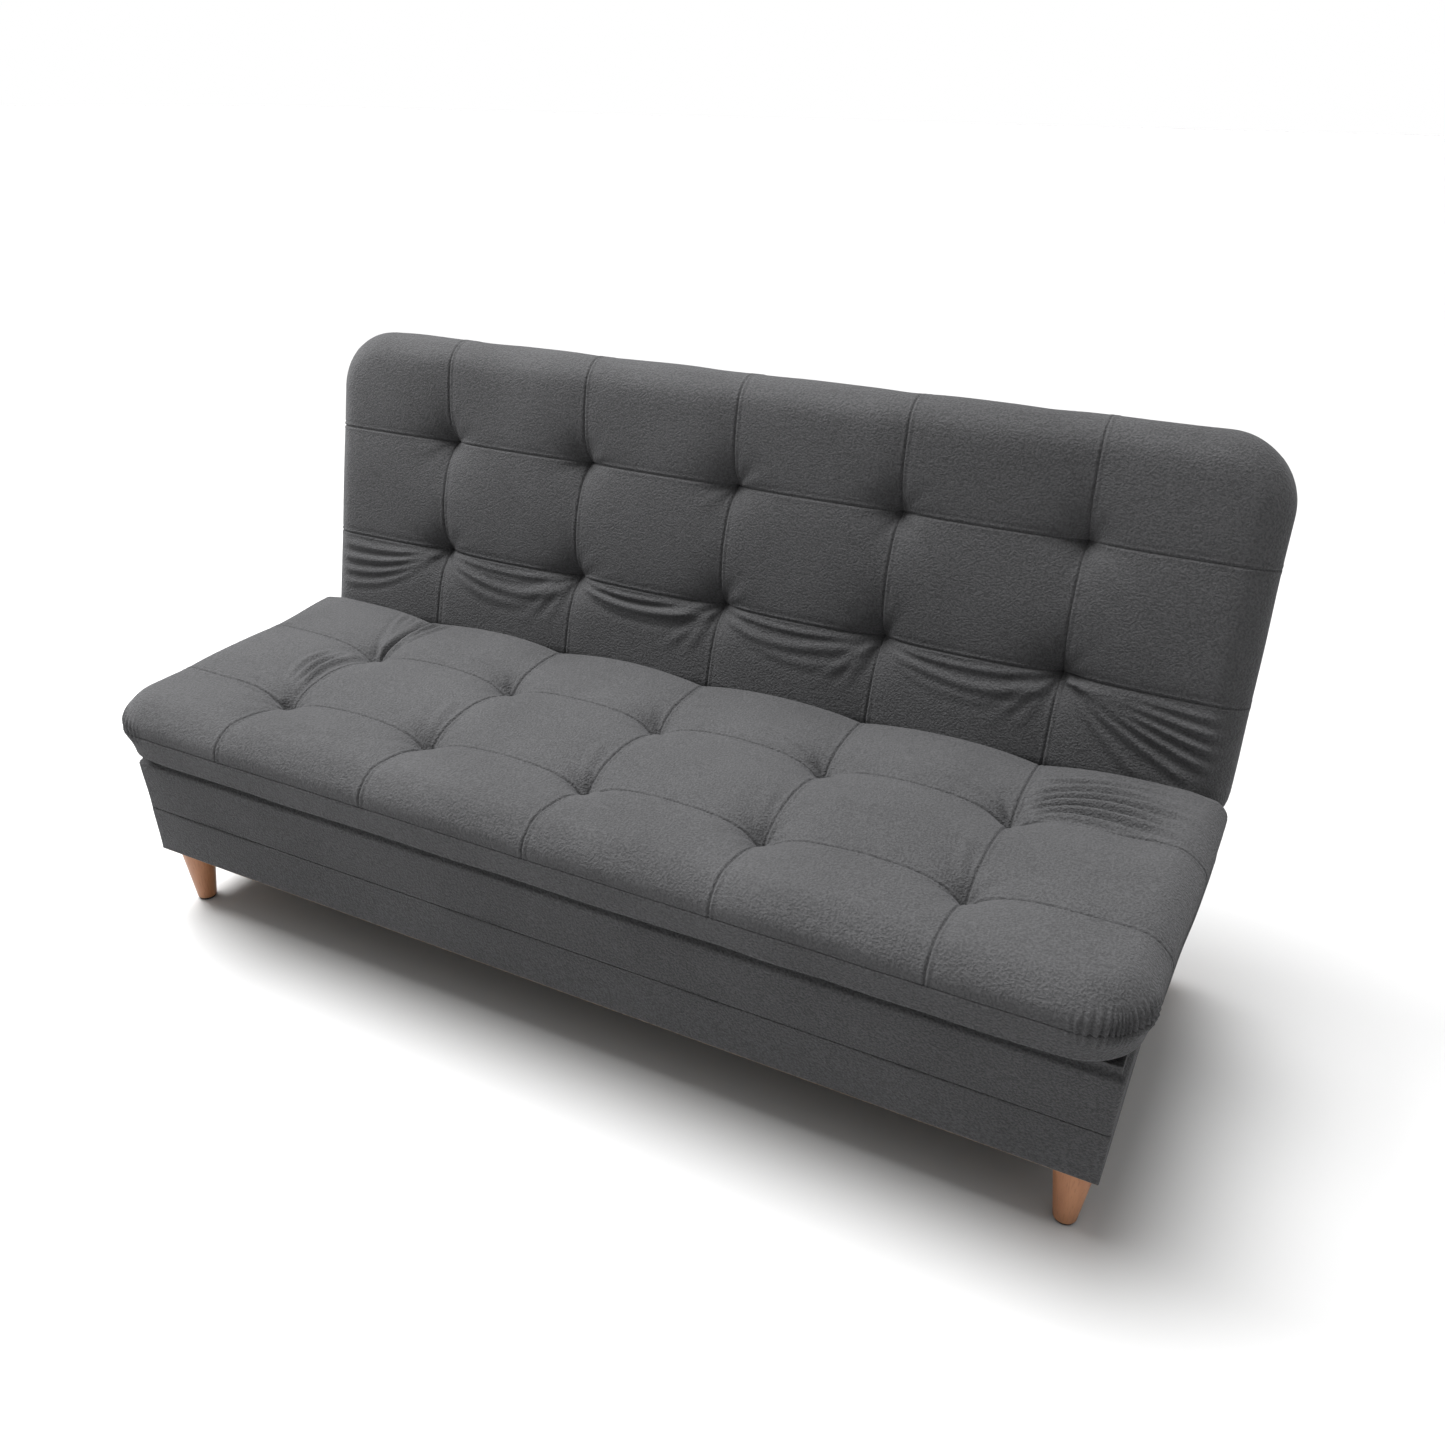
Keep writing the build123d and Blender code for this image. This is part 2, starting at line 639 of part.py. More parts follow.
def back_arm_screw(y, z):
    head = rod_x(ARM_SCREW_HEAD_RADIUS, BACK_ARM_OUT, BACK_ARM_OUT + ARM_SCREW_HEAD, y, z)
    return in_back(back_arm_screw_shank(y, z) + head)


# Hinge hardware

def hinge_bracket():
    foot = Polyline(
        (-BRACKET_HALF_WIDTH, BRACKET_LOW - PIVOT_Z),
        (BRACKET_HALF_WIDTH, BRACKET_LOW - PIVOT_Z),
        (BRACKET_HALF_WIDTH, -BRACKET_SHOULDER),
        (BOSS_RADIUS, -BRACKET_NECK),
        (BOSS_RADIUS, 0),
        (-BOSS_RADIUS, 0),
        (-BOSS_RADIUS, -BRACKET_NECK),
        (-BRACKET_HALF_WIDTH, -BRACKET_SHOULDER),
        close=True,
    )
    outline = make_face(foot) + Circle(BOSS_RADIUS)
    outline -= Circle(PIVOT_RADIUS)
    outline -= Pos(PAWL_PIN_Y, PAWL_PIN_Z) * Circle(PAWL_PIN_RADIUS)
    return bored_for_brackets(at_pivot(plate_yz(outline, BRACKET_IN, PANEL_IN_X)))


def pivot_bolt():
    end = BACK_ARM_IN - NUT_WASHER - NUT_THICK - BOLT_END
    shank = rod_x(PIVOT_RADIUS, end, PANEL_IN_X + WELD, 0, 0)
    head = hex_x(NUT_ACROSS, PANEL_IN_X, PANEL_IN_X + BOLT_HEAD, 0, 0)
    return at_pivot(shank + head)


def pivot_nut():
    x1 = BACK_ARM_IN - NUT_WASHER
    nut = hex_x(NUT_ACROSS, x1 - NUT_THICK, x1, 0, 0)
    return at_pivot(nut - rod_x(PIVOT_RADIUS, x1 - NUT_THICK - 1, x1 + 1, 0, 0))


def washer(x0, x1):
    ring = rod_x(WASHER_RADIUS, x0, x1, 0, 0) - rod_x(PIVOT_RADIUS, x0 - 1, x1 + 1, 0, 0)
    return at_pivot(ring)


def pivot_washers():
    gap = SIDE_CLEARANCE
    return [
        washer(SEAT_ARM_OUT + gap, BRACKET_IN),
        washer(BACK_ARM_OUT + gap, SEAT_ARM_IN - gap),
        washer(BACK_ARM_IN - NUT_WASHER, BACK_ARM_IN - gap),
    ]


def bush(x0, x1):
    inner = PIVOT_RADIUS + RUNNING_CLEARANCE
    ring = rod_x(BUSH_RADIUS, x0, x1, 0, 0) - rod_x(inner, x0 - 1, x1 + 1, 0, 0)
    return at_pivot(ring)


def pawl_pin():
    pin = rod_x(PAWL_PIN_RADIUS, BACK_ARM_IN - 1, PANEL_IN_X, PAWL_PIN_Y, PAWL_PIN_Z)
    inner = BACK_ARM_IN - WELD
    head = rod_x(PAWL_PIN_RADIUS + PAWL_PIN_HEAD, inner - PAWL_PIN_HEAD, inner, PAWL_PIN_Y, PAWL_PIN_Z)
    return at_pivot(pin + head)


def pawl():
    """Catch for the ratchet, drawn just clear of the circle of the tooth tips."""
    tip = polar(TOOTH_TIP_RADIUS + PAWL_TIP_GAP, PAWL_TIP_ANGLE)
    nose = Polyline(
        tip,
        (tip[0] - 9, tip[1] - 4),
        (PAWL_PIN_Y - 7, PAWL_PIN_Z - 3),
        (PAWL_PIN_Y + 7, PAWL_PIN_Z + 3),
        (tip[0] + 5, tip[1] - 7),
        close=True,
    )
    outline = make_face(nose) + Pos(PAWL_PIN_Y, PAWL_PIN_Z) * Circle(PAWL_BOSS_RADIUS)
    outline -= Pos(PAWL_PIN_Y, PAWL_PIN_Z) * Circle(PAWL_PIN_RADIUS + RUNNING_CLEARANCE)
    return at_pivot(plate_yz(outline, BACK_ARM_IN + PAWL_SIDE_GAP, BACK_ARM_OUT - PAWL_SIDE_GAP))


def pawl_spring():
    """Small coil round the pawl's pin, which presses the pawl to the teeth."""
    coil = Helix(COIL_PITCH, COIL_HEIGHT, COIL_RADIUS)
    section = Plane(origin=coil @ 0, z_dir=coil % 0) * Circle(COIL_WIRE)
    wire = sweep(section, coil, is_frenet=True)
    return at_pivot(Pos(BACK_ARM_OUT + COIL_OFFSET, PAWL_PIN_Y, PAWL_PIN_Z) * Rot(0, 90, 0) * wire)


def build():
    parts = {}
    parts.update(base_panels())
    parts["corner_blocks"] = corner_blocks()
    parts["base_lower_cover"] = cover_band(BASE_BOTTOM, COVER_SEAM - SEAM_GAP / 2)
    parts["base_upper_cover"] = cover_band(COVER_SEAM + SEAM_GAP / 2, BASE_TOP)
    leg_names = ("left_front", "left_rear", "right_front", "right_rear")
    for name, (x, y) in zip(leg_names, leg_places()):
        parts["leg_" + name] = leg(x, y)
    parts["leg_glides"] = group(glide(x, y) for x, y in leg_places())
    parts["leg_plates"] = group(leg_plate(x, y) for x, y in leg_places())
    parts["leg_bolts"] = group(leg_bolt(x, y) for x, y in leg_places())
    parts["leg_plate_screws"] = group(leg_screw(x, y) for x, y in leg_screw_places())
    parts["seat_bumpers"] = bumpers()
    parts["rear_bumpers"] = rear_bumpers()

    parts["seat_cushion"] = seat_cushion()
    parts.update(seat_rails())
    parts["seat_springs"] = group(zigzag_spring(x) for x in spring_xs())
    clip_places = [(x, y) for x in spring_xs() for y in spring_line()]
    parts["seat_spring_clips"] = group(spring_clip(x, y) for x, y in clip_places)
    parts["seat_tuft_anchors"] = seat_tuft_anchors()
    parts["seat_dust_cover"] = seat_dust_cover()

    parts["back_cushion"] = back_cushion()
    parts.update(back_rails())
    parts["back_webbing"] = back_webbing()
    parts["back_tuft_anchors"] = back_tuft_anchors()
    parts["back_rear_cover"] = back_rear_cover()

    right_only = {
        "hinge_bracket": hinge_bracket(),
        "seat_arm": seat_arm(),
        "back_arm": back_arm(),
        "pawl": pawl(),
        "pawl_spring": pawl_spring(),
    }
    for name, shape in right_only.items():
        parts[name + "_right"] = shape
        parts[name + "_left"] = mirrored(shape)

    seat_bush = bush(SEAT_ARM_IN, SEAT_ARM_OUT)
    back_bush = bush(BACK_ARM_IN, BACK_ARM_OUT)
    both_sides = {
        "hinge_bracket_bolts": [bracket_bolt(y, z) for y, z in bracket_bolt_places()],
        "pivot_bolts": [pivot_bolt()],
        "pivot_nuts": [pivot_nut()],
        "pivot_washers": pivot_washers(),
        "pawl_pins": [pawl_pin()],
        "seat_arm_bushes": [seat_bush],
        "back_arm_bushes": [back_bush],
        "seat_arm_screws": [seat_arm_screw(y, z) for y, z in seat_arm_screw_places()],
        "back_arm_screws": [back_arm_screw(y, z) for y, z in back_arm_screw_places()],
    }
    for name, solids in both_sides.items():
        parts[name] = group(solids + [mirrored(solid) for solid in solids])
    return parts


os.makedirs("parts", exist_ok=True)
for node, shape in build().items():
    export_step(shape, "parts/" + node + ".step")
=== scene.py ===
import json
import math

import bpy
import numpy as np
from mathutils import Matrix, Vector


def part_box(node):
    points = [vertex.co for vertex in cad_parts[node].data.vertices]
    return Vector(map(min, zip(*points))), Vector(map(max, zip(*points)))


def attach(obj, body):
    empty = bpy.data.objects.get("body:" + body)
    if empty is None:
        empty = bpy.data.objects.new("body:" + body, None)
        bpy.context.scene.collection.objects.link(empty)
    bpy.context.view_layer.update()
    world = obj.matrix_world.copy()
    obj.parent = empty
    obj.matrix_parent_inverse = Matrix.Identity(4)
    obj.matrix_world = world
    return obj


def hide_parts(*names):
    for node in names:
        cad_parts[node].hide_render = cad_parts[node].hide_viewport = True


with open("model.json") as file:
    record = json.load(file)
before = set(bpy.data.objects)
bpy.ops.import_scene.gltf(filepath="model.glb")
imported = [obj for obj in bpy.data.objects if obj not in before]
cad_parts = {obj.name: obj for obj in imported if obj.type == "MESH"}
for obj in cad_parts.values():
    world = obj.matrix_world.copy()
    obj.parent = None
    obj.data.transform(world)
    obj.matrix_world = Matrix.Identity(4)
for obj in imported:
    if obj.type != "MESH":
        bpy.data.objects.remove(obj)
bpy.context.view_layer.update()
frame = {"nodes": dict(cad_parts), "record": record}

# Everything is in metres, in the frame of the CAD model: +X width, -Y front, +Z up.

SEAT_LOW, SEAT_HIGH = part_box("seat_cushion")
RAIL_LOW, RAIL_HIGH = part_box("seat_front_rail")
BAND_LOW, BAND_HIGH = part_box("base_upper_cover")
FOOT_LOW, FOOT_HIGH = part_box("base_lower_cover")
JOINTS = {joint["name"]: joint for joint in frame["record"]["behaviour"]["joints"]}
PIVOT = Vector(JOINTS["back_recline"]["pos_m"])
RAKE = math.radians(90 - JOINTS["back_recline"]["range_deg"][1])

# The tuft grid: seams across the width, and the rows of tufts
TUFT_PITCH = 0.3064
TUFT_X = [column * TUFT_PITCH for column in (-2, -1, 0, 1, 2)]
SEAT_ROWS = (-0.231, -0.004)
BACK_ROWS = (0.168, 0.381)
HALF_WIDTH = SEAT_HIGH.x

# The back in its own frame, measured from the pivot as in the CAD model
BACK_FRONT = 0.038
BACK_REAR = 0.074
BACK_FOOT = -0.020
BACK_TOP = 0.573
BACK_HALF = 0.897
HINGE_SLOT = (0.811, 0.861)
HINGE_SLOT_TOP = 0.050

STAPLE_PITCH = 0.055
LINING_GAP = 0.0004
REAR_COVER_FACE = 0.0722

# The seat's outline narrows towards the front, and its boxing seam lies this far down from the rim
SEAT_REAR_HALF = 0.901
SEAT_FRONT_HALF = 0.885
SEAT_CORNER = 0.095
BOXING_SEAM = 0.046

# Spacing of the upholstery grids, and of the extra lines on either side of a seam
GRID_STEP = 0.0075
FINE_STEP = 0.0028
SEAM_LINES = (-0.0105, -0.0075, -0.005, -0.003, -0.0015, 0, 0.0015, 0.003, 0.005, 0.0075, 0.0105)

# A sewn seam: its groove, the lips beside it, and the line of top stitching
GROOVE_DEPTH = 0.0024
GROOVE_WIDTH = 0.0013
LIP_HEIGHT = 0.0010
LIP_OFFSET = 0.0042
LIP_WIDTH = 0.0022
STITCH_DEPTH = 0.0012
STITCH_OFFSET = 0.0078
STITCH_WIDTH = 0.0012

# The pleats at the seat's front corners
PLEAT_HEIGHT = 0.0036
PLEAT_PITCH = 0.0125

# The fabric bands of the base
BAND_CORNER = 0.002
BAND_THICKNESS = 0.0016
BAND_SEAM_HALF = 0.0001
BAND_RISE = 0.0008


# Mesh helpers

def new_object(name, verts, faces):
    mesh = bpy.data.meshes.new(name)
    mesh.from_pydata(np.asarray(verts).tolist(), [], faces)
    mesh.update()
    mesh.polygons.foreach_set("use_smooth", [True] * len(mesh.polygons))
    obj = bpy.data.objects.new(name, mesh)
    bpy.context.scene.collection.objects.link(obj)
    return obj


def smoothstep(a, b, x):
    t = np.clip((x - a) / (b - a), 0, 1)
    return t * t * (3 - 2 * t)


def bell(x, width):
    return np.exp(-((x / width) ** 2))


def stations(low, high, step, seams, close=()):
    """Grid lines from low to high, closer in the close stretches, with a close set at every seam."""
    lines = []
    edges = sorted({low, high, *[edge for stretch in close for edge in stretch]})
    for a, b in zip(edges[:-1], edges[1:]):
        fine = any(first <= a and b <= last for first, last in close)
        count = round((b - a) / (FINE_STEP if fine else step))
        lines += list(np.linspace(a, b, count, endpoint=False))
    lines.append(high)
    reach = SEAM_LINES[-1] + step / 3
    for seam in seams:
        lines = [line for line in lines if abs(line - seam) > reach]
        lines += [seam + offset for offset in SEAM_LINES]
    return np.array(sorted(lines))


def drift(u, v, seed, scale, terms=10):
    """Smooth, repeatable unevenness between about -1 and 1."""
    rng = np.random.default_rng(seed)
    total = np.zeros_like(u)
    for _ in range(terms):
        angle = rng.uniform(0, 2 * math.pi)
        wave = 2 * math.pi / (scale * rng.uniform(0.6, 1.8))
        phase = rng.uniform(0, 2 * math.pi)
        total += np.sin((u * math.cos(angle) + v * math.sin(angle)) * wave + phase)
    return total / math.sqrt(terms * 2)


def round_corners(u, v, half, ends):
    """Draws the square corners of a plan in to arcs. Each end is its direction in v, its radius and its v."""
    for way_v, radius, end in ends:
        centre_v = end - way_v * radius
        for way_u in (-1, 1):
            centre_u = way_u * (half - radius)
            a = way_u * (u - centre_u)
            b = way_v * (v - centre_v)
            inside = (a > 0) & (b > 0)
            scale = np.where(inside, np.maximum(a, b) / np.maximum(np.hypot(a, b), 1e-9), 1)
            u = np.where(inside, centre_u + way_u * a * scale, u)
            v = np.where(inside, centre_v + way_v * b * scale, v)
    return u, v


class Outline:
    """A rectangle with rounded corners. It takes places as shares of a plain rectangle."""

    def __init__(self, half, low, high, corner_low, corner_high):
        self.half = half
        self.low = low
        self.high = high
        self.corner_low = corner_low
        self.corner_high = corner_high

    def follow(self, share_u, share_v):
        u = share_u * self.half
        v = self.low + share_v * (self.high - self.low)
        ends = ((-1, self.corner_low, self.low), (1, self.corner_high, self.high))
        return round_corners(u, v, self.half, ends)


class Pad:
    """A closed upholstered pad, built as a grid over its face and rings down its wall and under it.

    u runs along the width, v across, w through the thickness, from 0 to thick.
    """

    def __init__(self, u_lines, v_lines, thick, corner_low, corner_high, roll, under_roll, levels):
        self.ul = u_lines
        self.vl = v_lines
        self.thick = thick
        self.corners = (corner_low, corner_high)
        nu = len(u_lines)
        nv = len(v_lines)
        grid_u, grid_v = np.meshgrid(u_lines, v_lines, indexing="ij")
        number = np.arange(nu * nv).reshape(nu, nv)
        faces = []
        for i in range(nu - 1):
            for j in range(nv - 1):
                faces.append((number[i, j], number[i + 1, j], number[i + 1, j + 1], number[i, j + 1]))
        rim = [(i, 0) for i in range(nu)] + [(nu - 1, j) for j in range(1, nv)]
        rim += [(i, nv - 1) for i in range(nu - 2, -1, -1)] + [(0, j) for j in range(nv - 2, 0, -1)]
        self.rim = rim
        rim_u = np.array([u_lines[i] for i, j in rim])
        rim_v = np.array([v_lines[j] for i, j in rim])
        # cover coordinates: where a point lies in plan, and how deep it is below the face's own rim
        self.pu = np.concatenate([grid_u.ravel()] + [rim_u] * len(levels))
        self.pv = np.concatenate([grid_v.ravel()] + [rim_v] * len(levels))
        depth = [np.full(len(rim), level) for level in levels]
        self.depth = np.concatenate([np.zeros(nu * nv)] + depth)
        self.on_face = np.arange(len(self.pu)) < nu * nv
        ring = np.array([number[i, j] for i, j in rim])
        self.rings = [ring]
        for k in range(len(levels)):
            self.rings.append(nu * nv + k * len(rim) + np.arange(len(rim)))
        for a, b in zip(self.rings[:-1], self.rings[1:]):
            faces += self.bridge(a, b)
        self.faces = faces
        self.shape(roll, under_roll)

    def bridge(self, a, b):
        count = len(a)
        return [(a[(k + 1) % count], a[k], b[k], b[(k + 1) % count]) for k in range(count)]

    def shape(self, roll, under_roll):
        """Rest shape, with the edges of the face and of the underside rolled over."""
        quarter = math.pi / 4
        roll = roll(self.pv) if callable(roll) else np.full_like(self.pv, roll)
        side_u = np.minimum(self.pu - self.ul[0], self.ul[-1] - self.pu)
        side_v = np.minimum(self.pv - self.vl[0], self.vl[-1] - self.pv)
        edge = np.minimum(side_u, side_v)
        phi_face = (1 - np.clip(edge / roll, 0, 1)) * quarter
        phi_wall = 2 * quarter - (1 - np.clip(self.depth / roll, 0, 1)) * quarter
        phi = np.where(self.on_face, phi_face, phi_wall)
        drop = roll * (1 - np.cos(phi)) + np.where(self.on_face, 0, np.clip(self.depth - roll, 0, None))
        most = 1 - math.sin(quarter)
        ease = np.where(self.on_face, 1, (1 - np.sin(phi_wall)) / most)
        left = self.thick - drop
        phi_under = (1 - np.clip(left / under_roll, 0, 1)) * 2 * quarter
        tuck = np.where(self.on_face, 0, under_roll * (1 - np.cos(phi_under)))
        self.w = left

        def drawn_in(side):
            g = roll - roll * np.sin((1 - np.clip(side / roll, 0, 1)) * quarter)
            return np.where(side < roll, side + ease * (g - side), side)

        mid_v = (self.vl[0] + self.vl[-1]) / 2
        new_u = drawn_in(side_u) + tuck * (1 - np.clip(side_u / 0.1, 0, 1))
        new_v = drawn_in(side_v) + tuck * (1 - np.clip(side_v / 0.1, 0, 1))
        flat_u = np.sign(self.pu) * (self.ul[-1] - new_u)
        flat_v = mid_v + np.sign(self.pv - mid_v) * (self.vl[-1] - mid_v - new_v)
        self.u, self.v = self.round_plan(flat_u, flat_v)

    def round_plan(self, u, v):
        """Draws the outline's four square corners in to arcs."""
        ends = ((-1, self.corners[0], self.vl[0]), (1, self.corners[1], self.vl[-1]))
        return round_corners(u, v, self.ul[-1], ends)

    def points(self):
        return np.stack([self.u, self.v, self.w], axis=1)

    def normals(self):
        """Outward normals of the open shell."""
        p = self.points()
        quads = np.array(self.faces)
        n = np.cross(p[quads[:, 2]] - p[quads[:, 0]], p[quads[:, 3]] - p[quads[:, 1]])
        total = np.zeros_like(p)
        for corner in range(4):
            np.add.at(total, quads[:, corner], n)
        return total / np.maximum(np.linalg.norm(total, axis=1, keepdims=True), 1e-12)

    def rim_shares(self):
        """Where the rim's points lie: from -1 to 1 across, and from 0 to 1 from front to rear."""
        across = np.array([self.ul[i] for i, j in self.rim]) / self.ul[-1]
        along = np.array([self.vl[j] for i, j in self.rim])
        return across, (along - self.vl[0]) / (self.vl[-1] - self.vl[0])

    def push(self, amount, direction=None):
        """Moves the points along their normals, or along one direction."""
        n = self.normals() if direction is None else np.array(direction)
        moved = self.points() + amount[:, None] * n
        self.u, self.v, self.w = moved.T

    def add_ring(self, u, v, w):
        """Closes further round the underside with one more ring."""
        start = len(self.u)
        self.u = np.append(self.u, u)
        self.v = np.append(self.v, v)
        self.w = np.append(self.w, w)
        ring = start + np.arange(len(u))
        self.faces += self.bridge(self.rings[-1], ring)
        self.rings.append(ring)

    def close(self):
        self.faces.append(tuple(self.rings[-1][::-1]))


# Upholstery relief, as heights over the cover coordinates

def near(values, lines):
    """Signed distance to the nearest of some lines."""
    gaps = values[:, None] - np.array(lines)[None, :]
    best = np.argmin(np.abs(gaps), axis=1)
    return gaps[np.arange(len(values)), best]


def pillow(gap, half):
    return 1 - (1 - np.clip(np.abs(gap) / half, 0, 1)) ** 2.4


def seam_groove(gap, stitch_way):
    """A sewn seam: a groove between two lips, with a line of top stitching beside it."""
    groove = -GROOVE_DEPTH * bell(gap, GROOVE_WIDTH)
    lips = LIP_HEIGHT * bell(np.abs(gap) - LIP_OFFSET, LIP_WIDTH)
    stitch = -STITCH_DEPTH * bell(gap - stitch_way * STITCH_OFFSET, STITCH_WIDTH)
    return groove + lips + stitch


def tufting(u, v, rows, crown, depth, spread):
    """Domes between the seams, deep pits at the tufts, and the seams themselves."""
    du = near(u, TUFT_X)
    dv = near(v, rows)
    half_v = (rows[1] - rows[0]) / 2
    dome = crown * (0.55 + 0.45 * pillow(du, TUFT_PITCH / 2)) * (0.55 + 0.45 * pillow(dv, half_v))
    reach = np.hypot(du, dv)
    pit = -depth * np.exp(-np.sqrt(reach ** 2 + 0.004 ** 2) / spread)
    valley_u = -0.010 * np.exp(-np.abs(dv) / 0.060) * np.exp(-np.abs(du) / 0.016)
    valley_v = -0.010 * np.exp(-np.abs(du) / 0.060) * np.exp(-np.abs(dv) / 0.016)
    return dome + pit + valley_u + valley_v


def pinch(u, v, rows, seed):
    """Small creases that run out of every tuft."""
    rng = np.random.default_rng(seed)
    total = np.zeros_like(u)
    for x in TUFT_X:
        for row in rows:
            reach = np.hypot(u - x, v - row)
            angle = np.arctan2(v - row, u - x)
            wave = np.zeros_like(u)
            for count in (5, 7, 9):
                wave += np.cos(count * angle + rng.uniform(0, 2 * math.pi))
            total += 0.0011 * wave * smoothstep(0.004, 0.02, reach) * bell(reach, 0.055)
    return total


def stroke(u, v, start, bend, end, height, width, fade_in=0.12, fade_out=0.7):
    """One soft fold along a curve that runs from start to end and leans towards bend."""
    t = np.linspace(0, 1, 90)[:, None]
    path = (1 - t) ** 2 * np.array(start) + 2 * t * (1 - t) * np.array(bend) + t ** 2 * np.array(end)
    reach = 4 * width
    low = path.min(axis=0) - reach
    high = path.max(axis=0) + reach
    close = np.flatnonzero((u > low[0]) & (u < high[0]) & (v > low[1]) & (v < high[1]))
    total = np.zeros_like(u)
    gap = np.hypot(u[close, None] - path[None, :, 0], v[close, None] - path[None, :, 1])
    where = np.argmin(gap, axis=1)
    gap = gap[np.arange(len(close)), where]
    along = where / (len(path) - 1)
    wide = width * (0.6 + 0.6 * along)
    ridge = bell(gap, wide) - 0.5 * bell(gap - 1.9 * wide, wide * 0.9)
    total[close] = height * ridge * smoothstep(0, fade_in, along) * smoothstep(1, fade_out, along)
    return total


# how far each draped fold hangs, its height and its width
SWAG_FOLDS = ((0.011, 0.0028, 0.0050), (0.026, 0.0046, 0.0068), (0.043, 0.0032, 0.0085),
              (0.064, 0.0016, 0.0110))


def swags(u, v, row, seed):
    """Draped folds that hang in each bay under the lower row of the back's tufts."""
    rng = np.random.default_rng(seed)
    total = np.zeros_like(u)
    for x in TUFT_X[:-1]:
        skip = rng.integers(0, 5)
        for k, (sag, height, width) in enumerate(SWAG_FOLDS):
            if k == skip:
                continue
            middle = x + TUFT_PITCH * (0.50 + rng.uniform(-0.10, 0.22))
            deep = row - 0.004 - (sag + rng.uniform(-0.006, 0.006)) * 1.7
            start = (x + 0.008, row - 0.004 - 0.004 * k)
            end = (x + TUFT_PITCH - 0.008, row - 0.004 - 0.005 * k)
            tall = height * rng.uniform(0.7, 1.25)
            total += stroke(u, v, start, (middle, deep), end, tall, width, 0.16, 0.84)
        for lean in (0.03, 0.055):
            total += stroke(u, v, (x + TUFT_PITCH - 0.010, row - 0.010), (x + TUFT_PITCH - lean, row - 0.055),
                            (x + TUFT_PITCH - 1.9 * lean, row - 0.105), 0.0024, 0.0080, 0.10, 0.5)
    return total


# Seat

def seat_roll(v):
    return 0.052 - 0.024 * smoothstep(0.02, SEAT_HIGH.y, v)


SEAT_LEVELS = (0.005, 0.011, 0.017, 0.023, 0.029, 0.034, 0.0385, 0.042, 0.0442, 0.0452, 0.046, 0.0468,
               0.048, 0.0505, 0.054, 0.058, 0.064, 0.071, 0.078, 0.084, 0.090, 0.095, 0.099, 0.102)
SEAT_REAR = SEAT_HIGH.y + 0.004


def seat_grid():
    """The seat at rest, with closer lines where it is folded."""
    half = SEAT_REAR_HALF
    left = TUFT_X[0]
    close_u = ((-half, -half + 0.105), (left - 0.075, left - 0.012), (left + 0.012, left + 0.062),
               (half - 0.105, half))
    close_v = ((SEAT_LOW.y, SEAT_LOW.y + 0.105), (SEAT_ROWS[1] + 0.013, 0.185))
    u_lines = stations(-half, half, GRID_STEP, TUFT_X, close_u)
    v_lines = stations(SEAT_LOW.y, SEAT_REAR, GRID_STEP, SEAT_ROWS, close_v)
    thick = SEAT_HIGH.z - SEAT_LOW.z
    return Pad(u_lines, v_lines, thick, SEAT_CORNER, 0.022, seat_roll, 0.010, SEAT_LEVELS)


def seat_face(pad, behind):
    """Tufts, folds and seams. The seams stop just short of the rear edge."""
    u = pad.pu
    v = pad.pv
    relief = tufting(u, v, SEAT_ROWS, 0.010, 0.030, 0.032)
    relief += pinch(u, v, SEAT_ROWS, 3)
    relief += 0.0016 * drift(u, v, 5, 0.30)
    relief += seat_folds(u, v) * smoothstep(0.008, 0.040, behind)
    scallop = (1 - np.clip(np.abs(near(u, TUFT_X)) / (TUFT_PITCH / 2), 0, 1)) ** 2
    relief -= 0.009 * scallop * np.exp(-behind / 0.045)
    edge = np.minimum(SEAT_REAR_HALF - np.abs(u), v - SEAT_LOW.y)
    inner = 0.40 + 0.60 * smoothstep(0, 0.07, edge)
    fade = np.where(pad.on_face, 1.0, smoothstep(BOXING_SEAM, 0.015, pad.depth)) * inner
    seams = (seam_groove(near(u, TUFT_X), 1) + seam_groove(near(v, SEAT_ROWS), 1)) * (pad.depth < BOXING_SEAM)
    pad.push(relief * fade + seams * smoothstep(0.002, 0.020, behind))


def seat_wall(pad, behind):
    """The boxing seam, its gathers at the corners, and a lower band drawn in towards its bottom edge."""
    seam = pad.depth - BOXING_SEAM
    groove = -0.0018 * bell(seam, 0.0016)
    lip = 0.0008 * bell(seam - 0.005, 0.003)
    stitch = 0.0006 * bell(seam + 0.0075, 0.0014)
    wall = groove + lip - stitch
    wall += 0.0007 * drift(pad.pu, pad.pv + pad.depth, 8, 0.16)
    corner = smoothstep(SEAT_REAR_HALF - 0.16, SEAT_REAR_HALF - 0.03, np.abs(pad.pu))
    tuck = (0.007 + 0.003 * corner) * smoothstep(BOXING_SEAM, 0.100, pad.depth)
    pad.push(np.where(pad.on_face, 0, wall - tuck * (behind > 0.03)) + gathers(pad))


def taper_seat(pad):
    """Narrows the seat towards its front, outside the outermost seams."""
    half = SEAT_REAR_HALF
    across = np.abs(pad.pu)
    taper = SEAT_FRONT_HALF + (SEAT_REAR_HALF - SEAT_FRONT_HALF) * smoothstep(SEAT_LOW.y, 0.10, pad.v)
    narrowed = 1 + (taper / half - 1) * (across - TUFT_X[-1]) / (half - TUFT_X[-1])
    pad.u = pad.u * np.where(across > TUFT_X[-1], narrowed, 1)


